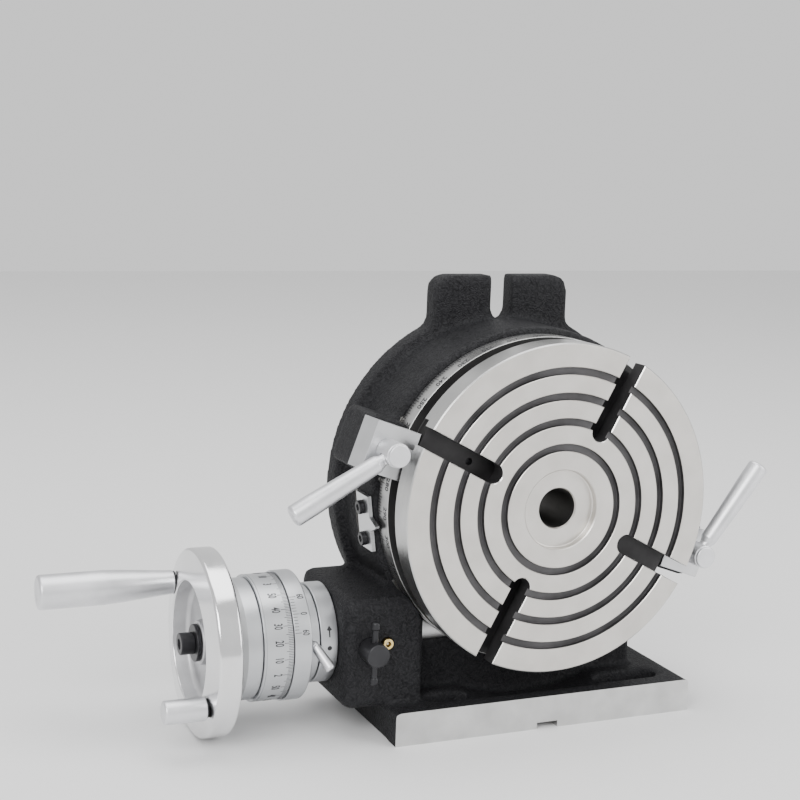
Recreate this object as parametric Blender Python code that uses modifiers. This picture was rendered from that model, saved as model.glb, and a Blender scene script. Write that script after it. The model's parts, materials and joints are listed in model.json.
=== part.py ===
"""Rotary table with a worm drive, standing upright on its foot.

World frame: metres, +Z up, X along the worm shaft with the handwheel at -X, Y into the machine, so
the table face looks along -Y.  The origin is under the middle of the whole object, on the plane
that the foot stands on.
"""
import math

import bmesh
import bpy
from mathutils import Matrix, Vector

# ---- driving dimensions (metres) ---------------------------------------------------------------
gap = 0.0003                      # clearance between pieces that touch on the real object

table_radius = 0.100
foot_drop = 0.037                 # foot's underside below the table's lowest point
centre_height = table_radius + foot_drop
table_rim = 0.0175                # depth of the front rim
clamp_groove = 0.0111             # width of the groove that the jaws grip
clamp_groove_radius = table_radius - 0.006
scale_band = 0.0144               # width of the band that carries the degree scale
table_chamfer = 0.001
ring_groove_radii = [table_radius * share for share in (0.377, 0.530, 0.682, 0.834)]
ring_groove_width = 0.0044
ring_groove_depth = 0.0035
centre_recess_radius = 0.024
centre_recess_depth = 0.005
taper_radius = 0.0119             # mouth of the Morse taper
taper_slope = 0.025               # radius lost per length
slot_angles = (62.0, 152.0, 242.0, 332.0)
slot_width = 0.012
slot_inner = table_radius * 0.46  # where a slot starts, from the axis
slot_depth = 0.0195
slot_foot_width = 0.020
slot_foot_height = 0.008

hub_radius = 0.0377               # seat of the worm wheel
shoulder_radius = 0.060
sleeve_cover = 0.0015             # clearance between the table's underside and the sleeve
spindle_radius = 0.030
spindle_tail = 0.030              # spindle length behind the worm wheel
wheel_screw_radius = 0.0495
wheel_screw_angles = (30.0, 150.0, 270.0)
wheel_shank_radius = 0.003
wheel_head_radius = 0.005
wheel_head_height = 0.006
wheel_head_slack = 0.0005         # how far a wheel screw's head stays below the wheel's face

wheel_teeth = 90
gear_module = 0.0015
wheel_width = 0.018
tooth_backlash = 0.0007           # taken off each tooth and each thread at the pitch line
worm_pitch_radius = 0.0135
worm_turns = 6
worm_hand = 1.0
thread_steps = 12
pressure_angle = 20.0
addendum = 0.9                    # tooth height above the pitch line, in modules
dedendum = 1.15                   # tooth depth below it, in modules
journal_radius = worm_pitch_radius - 0.005

sleeve_offset = 0.004             # eccentricity of the sleeve
sleeve_radius = 0.0205
sleeve_inner_end = 0.038
bush_radius = journal_radius + 0.0032
thrust_nut_radius = bush_radius + 0.0018
mark_ring_radius = 0.030
mark_ring_width = 0.0107
flange_radius = 0.029
flange_width = 0.0077
lever_pin_angle = 2.0             # root of the sleeve's lever, above the direction that faces the front
lever_pin_radius = 0.0025
lever_lean = (0.42, -0.55, -0.72)
lever_reach = 0.0160
lever_grip_radius = 0.0033
spigot_radius = 0.016
spigot_length = 0.005
vernier_radius = 0.0387
vernier_width = 0.0107
dial_radius = 0.0376
dial_width = 0.0177
collar_radius = 0.0360
collar_width = 0.0173
collar_taper = (0.0019, 0.0085)   # how far its end narrows, and over what length

handwheel_radius = 0.0555
handwheel_rim = 0.0141            # rim thickness along the shaft
handwheel_rim_inner = 0.0365
rim_slope = 0.0028                # how far the front of the rim falls back at its outer edge
rim_round = 0.002
dish_depth = 0.0110
hub_setback = 0.0057              # hub face behind the front of the rim
web_recess = 0.002
handwheel_hub = 0.0128
crank_radius = 0.0450
crank_angle = 37.0                # on the handwheel, from +Y towards +Z
handle_length = 0.0810
handle_radius = 0.0103
handle_neck_radius = 0.0071
crank_pin_radius = 0.004
knob_length = 0.0245
knob_radius = 0.00685
knob_pin_radius = 0.003
grip_spot = 0.0014                # depth of the flat that a grip stands on
grip_spot_margin = 0.0004
grip_shoulder = 0.0006            # pin collar between the wheel and a grip
grip_shoulder_inset = 0.0004
wheel_seat_radius = journal_radius - 0.0015
hub_head_radius = 0.005
hub_head_height = 0.0078
key_width = 0.004
key_floor = wheel_seat_radius - 0.0025
key_top = wheel_seat_radius + 0.0020
hub_shank_radius = key_floor - 0.0015
washer_radius = 0.0105
washer_thickness = 0.0025

barrel_radius = table_radius + 0.004
barrel_spare = 0.0373             # depth of the barrel behind the worm wheel's front
flange_plate = 0.0162
flange_plate_radius = table_radius + 0.010
lug_half_width = 0.0465
lug_top = table_radius + 0.031
lug_corner = 0.010
lug_fillet = 0.008
lug_slot = 0.014
lug_slot_depth = 0.029
body_half_width = table_radius * 0.8
foot_half_width = table_radius + 0.0003
foot_front = 0.004
foot_height = 0.0203
foot_scallop_radius = table_radius + 0.026
foot_slot_width = 0.014
foot_slot_spans = ((-0.0735, -0.0445), (0.0445, 0.0870))     # ends of the left and the right slot
foot_slot_setback = 0.0203        # slot centre line behind the foot's ground face
foot_key_width = 0.014
foot_key_depth = 0.004

block_end = 0.127                 # end face of the worm housing, from the table axis
block_ahead = 0.041               # housing in front of the worm axis, then behind, above and below it
block_behind = 0.039
block_above = 0.030
block_below = 0.0375
block_edge = 0.006

clamp_angle = 160.5
clamp_radius = table_radius + 0.0115
pad_half_width = 0.0175
pad_depth = 0.041                 # length of a clamp pad, back from its face
pad_outer = table_radius + 0.023
jaw_half_width = 0.015
jaw_outer = table_radius + 0.029
jaw_thickness = 0.0087
jaw_heel = 0.006
stud_radius = 0.004
lever_hub_radius = 0.00715
lever_hub_length = 0.0186
lever_length = 0.069
lever_neck_radius = 0.00475
lever_end_radius = 0.0064
lever_end_round = 0.0012
left_lever_angle = 209.0
right_lever_angle = 53.0

pointer_angle = 187.0
pointer_half_height = 0.017
pointer_width = 0.018
pointer_start = 0.045
pointer_tip = 0.036
pointer_thickness = 0.0025
pointer_seat_radius = table_radius + 0.0022
pointer_screw_spacing = 0.0195
pointer_shank_radius = 0.0025
pointer_head_radius = 0.00425
pointer_head_height = 0.003
pointer_shank_length = 0.009      # of the screw, behind the plate

lock_screw_x = -0.112
lock_shank_radius = 0.005
lock_knob_radius = 0.007
lock_knob_length = 0.0147
lock_bar_radius = 0.002
lock_bar_length = 0.038
oiler_x = -0.1005
oiler_rise = 0.0020               # above the worm axis
oiler_radius = 0.0034
oiler_seat = 0.007
oiler_ball_radius = 0.0012

stud_depth = 0.025
rear_recess_radius = 0.048
cover_screw_radius = 0.0425
cover_screw_angles = (90.0, 210.0, 330.0)
cover_shank_radius = 0.002
cover_bore = 0.015
bush_wall = 0.0037
slot_hole_radius = 0.0022         # small plugged hole in the floor of one slot
slot_hole_spot = table_radius * 0.6
slot_hole_depth = 0.003

# ---- places worked out from them ----------------------------------------------------------------
groove_front = table_rim
groove_back = table_rim + clamp_groove
table_back = groove_back + scale_band
thread_outer = worm_pitch_radius + gear_module
worm_room = sleeve_cover + max(sleeve_radius - sleeve_offset, thread_outer)
shoulder_depth = worm_room - wheel_width / 2 - gap
casting_front = table_back + gap
wheel_front = table_back + shoulder_depth + gap
wheel_back = wheel_front + wheel_width
spindle_end = wheel_back + spindle_tail
worm_depth = wheel_front + wheel_width / 2
barrel_depth = shoulder_depth + barrel_spare
plate_front = casting_front + barrel_depth
plate_back = plate_front + flange_plate
rear_recess_floor = spindle_end - 0.0055
pitch_radius = gear_module * wheel_teeth / 2
worm_drop = pitch_radius + worm_pitch_radius
block_front = worm_depth - block_ahead
block_back = worm_depth + block_behind
block_top = block_above - worm_drop
block_bottom = -block_below - worm_drop
oiler_z = oiler_rise - worm_drop
worm_lead = math.pi * gear_module
thread_root = worm_pitch_radius - dedendum * gear_module
thread_half = worm_turns * worm_lead / 2
worm_phase = worm_lead / 2
mark_ring_start = block_end + gap
mark_ring_end = mark_ring_start + mark_ring_width
flange_start = mark_ring_end + gap
flange_end = flange_start + flange_width
vernier_start = flange_end + gap
vernier_end = vernier_start + vernier_width
dial_start = vernier_end + gap
dial_end = dial_start + dial_width
collar_start = dial_end + gap
collar_end = collar_start + collar_width
hub_start = collar_end + gap
wheel_rim_back = hub_start
wheel_rim_front = wheel_rim_back + handwheel_rim + rim_slope
shaft_end = wheel_rim_front - 0.007
key_start = hub_start + 0.003
grip_start = wheel_rim_front - grip_spot + gap
handle_start = grip_start + grip_shoulder + gap
handle_end = handle_start + handle_length
knob_start = grip_start + grip_shoulder + gap
knob_end = knob_start + knob_length
lever_rise = math.radians(right_lever_angle)
right_end = (clamp_radius * math.cos(math.radians(clamp_angle + 180)) + lever_length * math.cos(lever_rise)
             + lever_end_radius * math.sin(lever_rise)
             - lever_end_round * (math.cos(lever_rise) + math.sin(lever_rise) - 1))
handwheel_back = worm_depth + handwheel_radius
pointer_turn = math.radians(pointer_angle)
pointer_normal = Vector((math.cos(pointer_turn), 0, math.sin(pointer_turn)))
pointer_along = Vector((-math.sin(pointer_turn), 0, math.cos(pointer_turn)))

origin = Vector((-(right_end - handle_end) / 2, -max(handwheel_back, plate_back) / 2, centre_height))


# ---- scene, collections and materials -----------------------------------------------------------
def clear_scene():
    for old in list(bpy.data.objects):
        bpy.data.objects.remove(old, do_unlink=True)


def new_collection(name):
    collection = bpy.data.collections.new(name)
    bpy.context.scene.collection.children.link(collection)
    return collection


clear_scene()
parts = new_collection("rotary_table_assembly")
cutters = new_collection("cutters")


def finish_material(name, colour, roughness, metallic):
    material = bpy.data.materials.new(name)
    material.use_nodes = True
    shader = material.node_tree.nodes["Principled BSDF"]
    shader.inputs["Base Color"].default_value = (*colour, 1.0)
    shader.inputs["Roughness"].default_value = roughness
    shader.inputs["Metallic"].default_value = metallic
    return material


finishes = {
    "black_paint": ((0.018, 0.018, 0.020), 0.55, 0.0),
    "ground_steel": ((0.60, 0.58, 0.56), 0.28, 1.0),
    "satin_chrome": ((0.62, 0.62, 0.63), 0.32, 1.0),
    "aluminium": ((0.80, 0.80, 0.81), 0.22, 1.0),
    "black_oxide": ((0.03, 0.03, 0.033), 0.45, 0.6),
    "brass": ((0.72, 0.52, 0.22), 0.30, 1.0),
    "bronze": ((0.55, 0.36, 0.18), 0.38, 1.0),
    "steel": ((0.50, 0.50, 0.51), 0.35, 1.0),
}


def place(x, y, z):
    """A point given from the table face centre, in world metres."""
    return origin + Vector((x, y, z))


def polar(radius, degrees, depth=0.0):
    angle = math.radians(degrees)
    return place(radius * math.cos(angle), depth, radius * math.sin(angle))


# ---- shape helpers ------------------------------------------------------------------------------
def add_object(name, mesh, finish=None, matrix=None):
    obj = bpy.data.objects.new(name, mesh)
    if finish:
        colour, roughness, metallic = finishes[finish]
        mesh.materials.append(finish_material(name, colour, roughness, metallic))
        parts.objects.link(obj)
    else:
        cutters.objects.link(obj)
        obj.display_type = 'WIRE'
        obj.hide_render = True
    if matrix is not None:
        obj.matrix_world = matrix
    return obj


def mesh_from(bm, name):
    mesh = bpy.data.meshes.new(name)
    bm.to_mesh(mesh)
    bm.free()
    return mesh


def box(name, size, matrix, finish=None):
    """A box of the given size, centred on the matrix."""
    bm = bmesh.new()
    bmesh.ops.create_cube(bm, size=1.0)
    bmesh.ops.scale(bm, vec=size, verts=bm.verts)
    return add_object(name, mesh_from(bm, name), finish, matrix)


def box_between(name, low, high, finish=None):
    """A box from one corner to the other, both given from the table face centre."""
    middle = [(a + b) / 2 for a, b in zip(low, high)]
    size = [b - a for a, b in zip(low, high)]
    return box(name, size, Matrix.Translation(place(*middle)), finish)


def rod(name, radius, start, end, finish=None, sides=20, end_radius=None):
    """A cylinder or cone between two world points; its own origin is at its start."""
    length = (end - start).length
    bm = bmesh.new()
    bmesh.ops.create_cone(bm, cap_ends=True, segments=sides, radius1=radius,
                          radius2=radius if end_radius is None else end_radius, depth=length,
                          matrix=Matrix.Translation((0, 0, length / 2)))
    turn = (end - start).to_track_quat('Z', 'Y').to_matrix().to_4x4()
    obj = add_object(name, mesh_from(bm, name), finish, Matrix.Translation(start) @ turn)
    obj.data.shade_smooth()
    obj.data.set_sharp_from_angle(angle=math.radians(35))
    return obj


def turned(name, profile, matrix, finish=None, sides=32):
    """A turned piece: profile pairs (radius, height) run down the outside and up the bore."""
    bm = bmesh.new()
    points = [bm.verts.new((radius, 0.0, height)) for radius, height in profile]
    for first, second in zip(points, points[1:]):
        bm.edges.new((first, second))
    if profile[0][0] > 0:
        bm.edges.new((points[-1], points[0]))
    obj = add_object(name, mesh_from(bm, name), finish, matrix)
    screw = obj.modifiers.new("Turn", 'SCREW')
    screw.steps = sides
    screw.render_steps = sides
    screw.use_merge_vertices = True
    screw.merge_threshold = 0.00001
    return obj


def extruded(name, outline, thickness, matrix, finish=None):
    """A flat outline in the matrix's X and Y, as thick as given along its Z, starting at 0."""
    bm = bmesh.new()
    face = bm.faces.new([bm.verts.new((x, y, 0.0)) for x, y in outline])
    raised = bmesh.ops.extrude_face_region(bm, geom=[face])
    top = [item for item in raised["geom"] if isinstance(item, bmesh.types.BMVert)]
    bmesh.ops.translate(bm, verts=top, vec=(0, 0, thickness))
    bmesh.ops.recalc_face_normals(bm, faces=bm.faces)
    return add_object(name, mesh_from(bm, name), finish, matrix)


def boolean(target, tool, operation):
    modifier = target.modifiers.new(f"{operation.title()} {tool.name}", 'BOOLEAN')
    modifier.operation = operation
    modifier.object = tool
    modifier.solver = 'EXACT'


def cut(target, *tools):
    for tool in tools:
        boolean(target, tool, 'DIFFERENCE')


def join(target, *tools):
    for tool in tools:
        boolean(target, tool, 'UNION')


def parent_to(empty, *objects):
    bpy.context.view_layer.update()
    for obj in objects:
        matrix = obj.matrix_world.copy()
        obj.parent = empty
        obj.matrix_parent_inverse = empty.matrix_world.inverted()
        obj.matrix_world = matrix


def pivot(name, matrix):
    empty = bpy.data.objects.new(name, None)
    empty.empty_display_size = 0.02
    parts.objects.link(empty)
    empty.matrix_world = matrix
    return empty


def arc(centre, radius, first, last, count):
    """Points on an arc, angles in degrees, ends included."""
    angles = [math.radians(first + (last - first) * i / count) for i in range(count + 1)]
    return [(centre[0] + radius * math.cos(a), centre[1] + radius * math.sin(a)) for a in angles]


def bevel(obj, width, segments=2, angle=35.0):
    modifier = obj.modifiers.new("Edge round", 'BEVEL')
    modifier.width = width
    modifier.segments = segments
    modifier.limit_method = 'ANGLE'
    modifier.angle_limit = math.radians(angle)


# Matrices whose Z runs along the machine's own directions.
into_machine = Matrix.Rotation(math.radians(-90), 4, 'X')       # Z to +Y
to_handwheel = Matrix.Rotation(math.radians(-90), 4, 'Y')       # Z to -X
facing_front = Matrix.Rotation(math.radians(90), 4, 'X')        # X, Y to world X, Z; Z to -Y


def table_matrix(depth=0.0):
    return Matrix.Translation(place(0, depth, 0)) @ into_machine


def worm_matrix(distance=0.0, height=0.0, depth=0.0):
    return Matrix.Translation(place(-distance, worm_depth + depth, -worm_drop + height)) @ to_handwheel


def radial_matrix(degrees, radius=0.0, depth=0.0):
    """X outwards along the angle, Y along the table axis into the machine, Z round the table."""
    angle = math.radians(degrees)
    outward = Vector((math.cos(angle), 0, math.sin(angle)))
    inward = Vector((0, 1, 0))
    around = outward.cross(inward)
    turn = Matrix((outward, inward, around)).transposed().to_4x4()
    return Matrix.Translation(polar(radius, degrees, depth)) @ turn


def ring_profile(outer, inner, bottom, top, edge=0.0):
    """A plain ring, with a chamfer on its two outer edges where one is asked for."""
    if edge:
        outside = [(outer - edge, top), (outer, top - edge), (outer, bottom + edge), (outer - edge, bottom)]
    else:
        outside = [(outer, top), (outer, bottom)]
    return [(inner, top)] + outside + [(inner, bottom)]


def socket_screw(name, head_radius, head_height, shank_radius, shank_length, matrix, finish="black_oxide"):
    """A socket head screw: its seat is at the matrix, the head along +Z, the shank along -Z."""
    profile = [(0, head_height), (head_radius - 0.0003, head_height), (head_radius, head_height - 0.0003),
               (head_radius, 0), (shank_radius, 0), (shank_radius, -shank_length), (0, -shank_length)]
    screw = turned(name, profile, matrix, finish, sides=14)
    depth = head_height * 0.55
    key = rod(f"{name}_socket", head_radius * 0.55, Vector((0, 0, 0)), Vector((0, 0, depth * 2)), sides=6)
    key.matrix_world = matrix @ Matrix.Translation((0, 0, head_height - depth))
    cut(screw, key)
    return screw


# ---- base casting -------------------------------------------------------------------------------
def back_plate_outline():
    """Flange circle with the lug on top and the straight body sides down to the foot."""
    radius = flange_plate_radius
    half = lug_half_width
    fillet_x = half + lug_fillet
    fillet_z = math.sqrt((radius + lug_fillet) ** 2 - fillet_x ** 2)
    touch = math.degrees(math.atan2(fillet_z, fillet_x))
    side = math.degrees(math.asin(-math.sqrt(radius ** 2 - body_half_width ** 2) / radius))
    bottom = -centre_height + foot_height / 2
    corner = (half - lug_corner, lug_top - lug_corner)
    right = arc(corner, lug_corner, 90, 0, 5)
    right += arc((fillet_x, fillet_z), lug_fillet, 180, 180 + touch, 5)
    right += arc((0, 0), radius, touch, side, 30)[1:]
    right.append((body_half_width, bottom))
    left = [(-x, z) for x, z in reversed(right)]
    return right + left


def stadium(width, length):
    """Outline of a slot along X, its round end about the origin and its open end square."""
    half = width / 2
    return arc((0, 0), half, 90, 270, 5) + [(length, -half), (length, half)]


def foot_slot_cutter(name, first, last):
    half = foot_slot_width / 2
    outline = arc((first + half, 0), half, 90, 270, 6) + arc((last - half, 0), half, -90, 90, 6)
    spot = place(0, foot_front + foot_slot_setback, -centre_height - 0.01)
    return extruded(name, outline, foot_height + 0.02, Matrix.Translation(spot))


def make_base():
    bottom = -centre_height
    foot_top = bottom + foot_height
    plate_matrix = Matrix.Translation(place(0, plate_back, 0)) @ facing_front
    base = extruded("base_casting", back_plate_outline(), flange_plate, plate_matrix, "black_paint")
    barrel = rod("barrel", barrel_radius, place(0, casting_front, 0), place(0, plate_front + 0.002, 0),
                 sides=48)
    body = box_between("body", (-body_half_width, casting_front, bottom + foot_height / 2),
                       (body_half_width, plate_back - 0.002, -body_half_width / 2))
    foot = box_between("foot", (-foot_half_width, foot_front, bottom),
                       (foot_half_width, plate_back, foot_top))
    scallop = rod("foot_scallop", foot_scallop_radius, place(0, foot_front - 0.01, 0),
                  place(0, casting_front, 0), sides=64)
    cut(foot, scallop)
    block = box_between("worm_housing", (-block_end, block_front, block_bottom),
                        (-body_half_width + 0.004, block_back, block_top))
    bevel(block, block_edge, 3)
    join(base, barrel, body, foot, block)
    for number, degrees in enumerate((clamp_angle, clamp_angle + 180)):
        depth = groove_back + gap + pad_depth / 2
        pad_radius = (pad_outer + table_radius - 0.004) / 2
        pad = box(f"clamp_pad_{number + 1}", (pad_outer - table_radius + 0.004, pad_depth,
                                              pad_half_width * 2),
                  radial_matrix(degrees, pad_radius, depth))
        bevel(pad, 0.003)
        join(base, pad)

    sweep = rod("table_clearance", table_radius + 0.0014, place(0, -0.02, 0), place(0, casting_front, 0),
                sides=48)
    cavity = rod("wheel_cavity", pitch_radius + gear_module + 0.003, place(0, casting_front - 0.005, 0),
                 place(0, wheel_back + 0.007, 0), sides=32)
    bearing = rod("bearing_bore", spindle_radius + bush_wall + gap, place(0, wheel_back, 0),
                  place(0, plate_back + 0.01, 0), sides=32)
    recess = rod("rear_recess", rear_recess_radius, place(0, rear_recess_floor, 0),
                 place(0, plate_back + 0.01, 0), sides=32)
    sleeve_bore = rod("sleeve_bore", sleeve_radius + gap,
                      place(-block_end - 0.01, worm_depth + sleeve_offset, -worm_drop),
                      place(-sleeve_inner_end + 0.001, worm_depth + sleeve_offset, -worm_drop), sides=32)
    tunnel_depth = worm_depth + 0.001
    tunnel_height = -worm_drop - 0.0017
    tunnel = rod("worm_tunnel", thread_outer + 0.0027,
                 place(-sleeve_inner_end, tunnel_depth, tunnel_height),
                 place(sleeve_inner_end, tunnel_depth, tunnel_height), sides=32)
    cut(base, sweep, cavity, bearing, recess, sleeve_bore, tunnel)

    lug_cut = extruded("lug_slot", stadium(lug_slot, lug_slot_depth * 2), 0.05,
                       Matrix.Translation(place(0, plate_back + 0.01, lug_top - lug_slot_depth
                                                + lug_slot / 2))
                       @ facing_front @ Matrix.Rotation(math.radians(90), 4, 'Z'))
    key_foot = box_between("foot_keyway", (-foot_key_width / 2, -0.01, bottom - 0.01),
                           (foot_key_width / 2, plate_back + 0.01, bottom + foot_key_depth))
    seat_half = pointer_half_height + 0.003
    seat_depth = 0.030
    seat = box("pointer_seat", (0.02, seat_depth, seat_half * 2),
               radial_matrix(pointer_angle, pointer_seat_radius + 0.01, casting_front + seat_depth / 2
                             - 0.002))
    left_slot, right_slot = foot_slot_spans
    cut(base, lug_cut, key_foot, seat, foot_slot_cutter("left_foot_slot", *left_slot),
        foot_slot_cutter("right_foot_slot", *right_slot))

    for degrees, side in ((clamp_angle, "left"), (clamp_angle + 180, "right")):
        cut(base, rod(f"{side}_stud_hole", stud_radius + gap,
                      polar(clamp_radius, degrees, groove_back - 0.005),
                      polar(clamp_radius, degrees, groove_back + stud_depth + gap), sides=24))
    for number, spot in enumerate(pointer_screw_places()):
        inner = spot - pointer_normal * (pointer_shank_length + 5 * gap)
        cut(base, rod(f"pointer_hole_{number + 1}", pointer_shank_radius + gap, inner, spot
                      + pointer_normal * 0.01, sides=20))
    for number, degrees in enumerate(cover_screw_angles):
        cut(base, rod(f"cover_hole_{number + 1}", cover_shank_radius + gap,
                      polar(cover_screw_radius, degrees, rear_recess_floor - 0.008),
                      polar(cover_screw_radius, degrees, plate_back + 0.01), sides=16))
    lock_hole = rod("lock_hole", lock_shank_radius + gap,
                    place(lock_screw_x, block_front - 0.01, -worm_drop),
                    place(lock_screw_x, worm_depth + sleeve_offset, -worm_drop), sides=24)
    oil_hole = rod("oil_hole", oiler_radius + gap, place(oiler_x, block_front - 0.01, oiler_z),
                   place(oiler_x, block_front + oiler_seat + gap, oiler_z), sides=24)
    cut(base, lock_hole, oil_hole)
    return base


def pointer_screw_places():
    middle = polar(pointer_seat_radius, pointer_angle, (pointer_start + pointer_start + pointer_width) / 2)
    half = pointer_screw_spacing / 2
    return [middle + pointer_along * half, middle - pointer_along * half]


# ---- table and spindle --------------------------------------------------------------------------
def table_profile():
    seat = table_back + shoulder_depth
    far = taper_radius - taper_slope * (spindle_end - centre_recess_depth)
    points = [(far, spindle_end), (spindle_radius, spindle_end), (spindle_radius, wheel_back),
              (hub_radius, wheel_back), (hub_radius, seat), (shoulder_radius, seat),
              (shoulder_radius, table_back), (table_radius - table_chamfer / 2, table_back),
              (table_radius, table_back - table_chamfer / 2), (table_radius, groove_back),
              (clamp_groove_radius, groove_back), (clamp_groove_radius, groove_front),
              (table_radius, groove_front), (table_radius, table_chamfer),
              (table_radius - table_chamfer, 0)]
    half = ring_groove_width / 2
    for radius in reversed(ring_groove_radii):
        points += [(radius + half, 0), (radius + half, ring_groove_depth),
                   (radius - half, ring_groove_depth), (radius - half, 0)]
    points += [(centre_recess_radius, 0), (centre_recess_radius, centre_recess_depth),
               (taper_radius, centre_recess_depth)]
    return points


def make_table():
    table = turned("rotary_table", table_profile(), table_matrix(), "ground_steel", sides=40)
    reach = table_radius * 1.2 - slot_inner
    for number, degrees in enumerate(slot_angles):
        neck_matrix = radial_matrix(degrees, slot_inner + slot_width / 2, -0.005)
        lay_flat = Matrix.Rotation(math.radians(-90), 4, 'X')
        neck = extruded(f"slot_neck_{number + 1}", stadium(slot_width, reach), slot_depth + 0.005,
                        neck_matrix @ lay_flat)
        wide_matrix = radial_matrix(degrees, slot_inner + slot_width / 2, slot_depth - slot_foot_height)
        wide = extruded(f"slot_foot_{number + 1}", stadium(slot_foot_width, reach), slot_foot_height
                        + 0.0001,
                        wide_matrix @ lay_flat)
        cut(table, neck, wide)
    cut(table, rod("slot_hole", slot_hole_radius, polar(slot_hole_spot, slot_angles[1], slot_depth - 0.001),
                   polar(slot_hole_spot, slot_angles[1], slot_depth + slot_hole_depth), sides=12))
    for number, degrees in enumerate(wheel_screw_angles):
        cut(table, rod(f"wheel_tapping_{number + 1}", wheel_shank_radius + gap,
                       polar(wheel_screw_radius, degrees, wheel_front - 0.014),
                       polar(wheel_screw_radius, degrees, wheel_back), sides=16))
    return table


# ---- worm wheel and worm ------------------------------------------------------------------------
def tooth_halves():
    """Half the width of a tooth, or of the thread, at its tip and at its root."""
    half = (math.pi * gear_module / 2 - tooth_backlash) / 2
    slope = math.tan(math.radians(pressure_angle))
    return half - addendum * gear_module * slope, half + dedendum * gear_module * slope


def wheel_outline():
    """Straight-sided teeth; a tooth is centred on the direction that faces the worm."""
    outer = pitch_radius + addendum * gear_module
    root = pitch_radius - dedendum * gear_module
    pitch_angle = 360.0 / wheel_teeth
    tip_half, root_half = tooth_halves()
    points = []
    for tooth in range(wheel_teeth):
        middle = -90.0 + tooth * pitch_angle
        for width, radius in ((-root_half, root), (-tip_half, outer), (tip_half, outer), (root_half, root)):
            direction = math.radians(middle) + width / radius
            points.append((radius * math.cos(direction), radius * math.sin(direction)))
    return points


def make_worm_wheel():
    lead_angle = math.atan(worm_lead / (2 * math.pi * worm_pitch_radius))
    twist = wheel_width * math.tan(lead_angle) / pitch_radius
    bm = bmesh.new()
    face = bm.faces.new([bm.verts.new((x, y, 0.0)) for x, y in wheel_outline()])
    raised = bmesh.ops.extrude_face_region(bm, geom=[face])
    top = [item for item in raised["geom"] if isinstance(item, bmesh.types.BMVert)]
    bottom = [vertex for vertex in bm.verts if vertex not in set(top)]
    bmesh.ops.translate(bm, verts=top, vec=(0, 0, wheel_width))
    for verts, turn in ((bottom, -twist / 2), (top, twist / 2)):
        bmesh.ops.rotate(bm, verts=verts, cent=(0, 0, 0), matrix=Matrix.Rotation(turn * worm_hand, 3, 'Z'))
    bmesh.ops.recalc_face_normals(bm, faces=bm.faces)
    matrix = Matrix.Translation(place(0, wheel_back, 0)) @ facing_front
    wheel = add_object("worm_wheel", mesh_from(bm, "worm_wheel"), "bronze", matrix)
    cut(wheel, rod("wheel_bore", hub_radius + gap, place(0, wheel_front - 0.01, 0),
                   place(0, wheel_back + 0.01, 0), sides=48))
    for number, degrees in enumerate(wheel_screw_angles):
        cut(wheel, rod(f"wheel_hole_{number + 1}", wheel_shank_radius + gap,
                       polar(wheel_screw_radius, degrees, wheel_front - 0.005),
                       polar(wheel_screw_radius, degrees, wheel_back + 0.005), sides=16))
        cut(wheel, rod(f"wheel_counterbore_{number + 1}", wheel_head_radius + gap,
                       polar(wheel_screw_radius, degrees, wheel_back - wheel_head_height - gap),
                       polar(wheel_screw_radius, degrees, wheel_back + 0.005), sides=24))
    return wheel


def make_worm_shaft():
    """Thread, shoulder, long journal and handwheel seat, with the thread wound on the core."""
    steps = thread_steps
    tip_half, root_half = tooth_halves()
    tip = worm_pitch_radius + addendum * gear_module
    core = thread_root
    sunk = core - 0.0008
    bm = bmesh.new()
    rings = []
    total = int(worm_turns * steps)
    for index in range(total + 1):
        around = 2 * math.pi * index / steps * worm_hand
        along = worm_lead * (index / steps - worm_turns / 2) + worm_phase
        ends = min(index, total - index) / (steps / 4)
        grow = min(1.0, ends)
        height = core + (tip - core) * grow
        profile = ((sunk, -root_half), (height, -tip_half), (height, tip_half), (sunk, root_half))
        rings.append([bm.verts.new((r * math.cos(around), r * math.sin(around), along + shift))
                      for r, shift in profile])
    for first, second in zip(rings, rings[1:]):
        for corner in range(4):
            after = (corner + 1) % 4
            bm.faces.new((first[corner], first[after], second[after], second[corner]))
    bm.faces.new(rings[0])
    bm.faces.new(rings[-1])
    bmesh.ops.recalc_face_normals(bm, faces=bm.faces)
    thread = add_object("worm_thread", mesh_from(bm, "worm_thread"), None, worm_matrix())
    shaft_profile = [(0, shaft_end), (wheel_seat_radius, shaft_end),
                     (wheel_seat_radius, hub_start - gap), (journal_radius, hub_start - gap),
                     (journal_radius, sleeve_inner_end - gap),
                     (core, sleeve_inner_end - gap), (core, -thread_half - 0.002),
                     (0, -thread_half - 0.002)]
    shaft = turned("worm_shaft", shaft_profile, worm_matrix(), "steel", sides=32)
    join(shaft, thread)
    tapping = rod("shaft_tapping", hub_shank_radius + gap,
                  place(-shaft_end + 0.019, worm_depth, -worm_drop),
                  place(-shaft_end - 0.01, worm_depth, -worm_drop), sides=20)
    slot = box_between("shaft_keyway", (-shaft_end - 0.01, worm_depth - key_width / 2 - gap, -worm_drop
                                        + key_floor - gap),
                       (-key_start + gap, worm_depth + key_width / 2 + gap, -worm_drop + 0.02))
    cut(shaft, tapping, slot)
    return shaft


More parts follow.
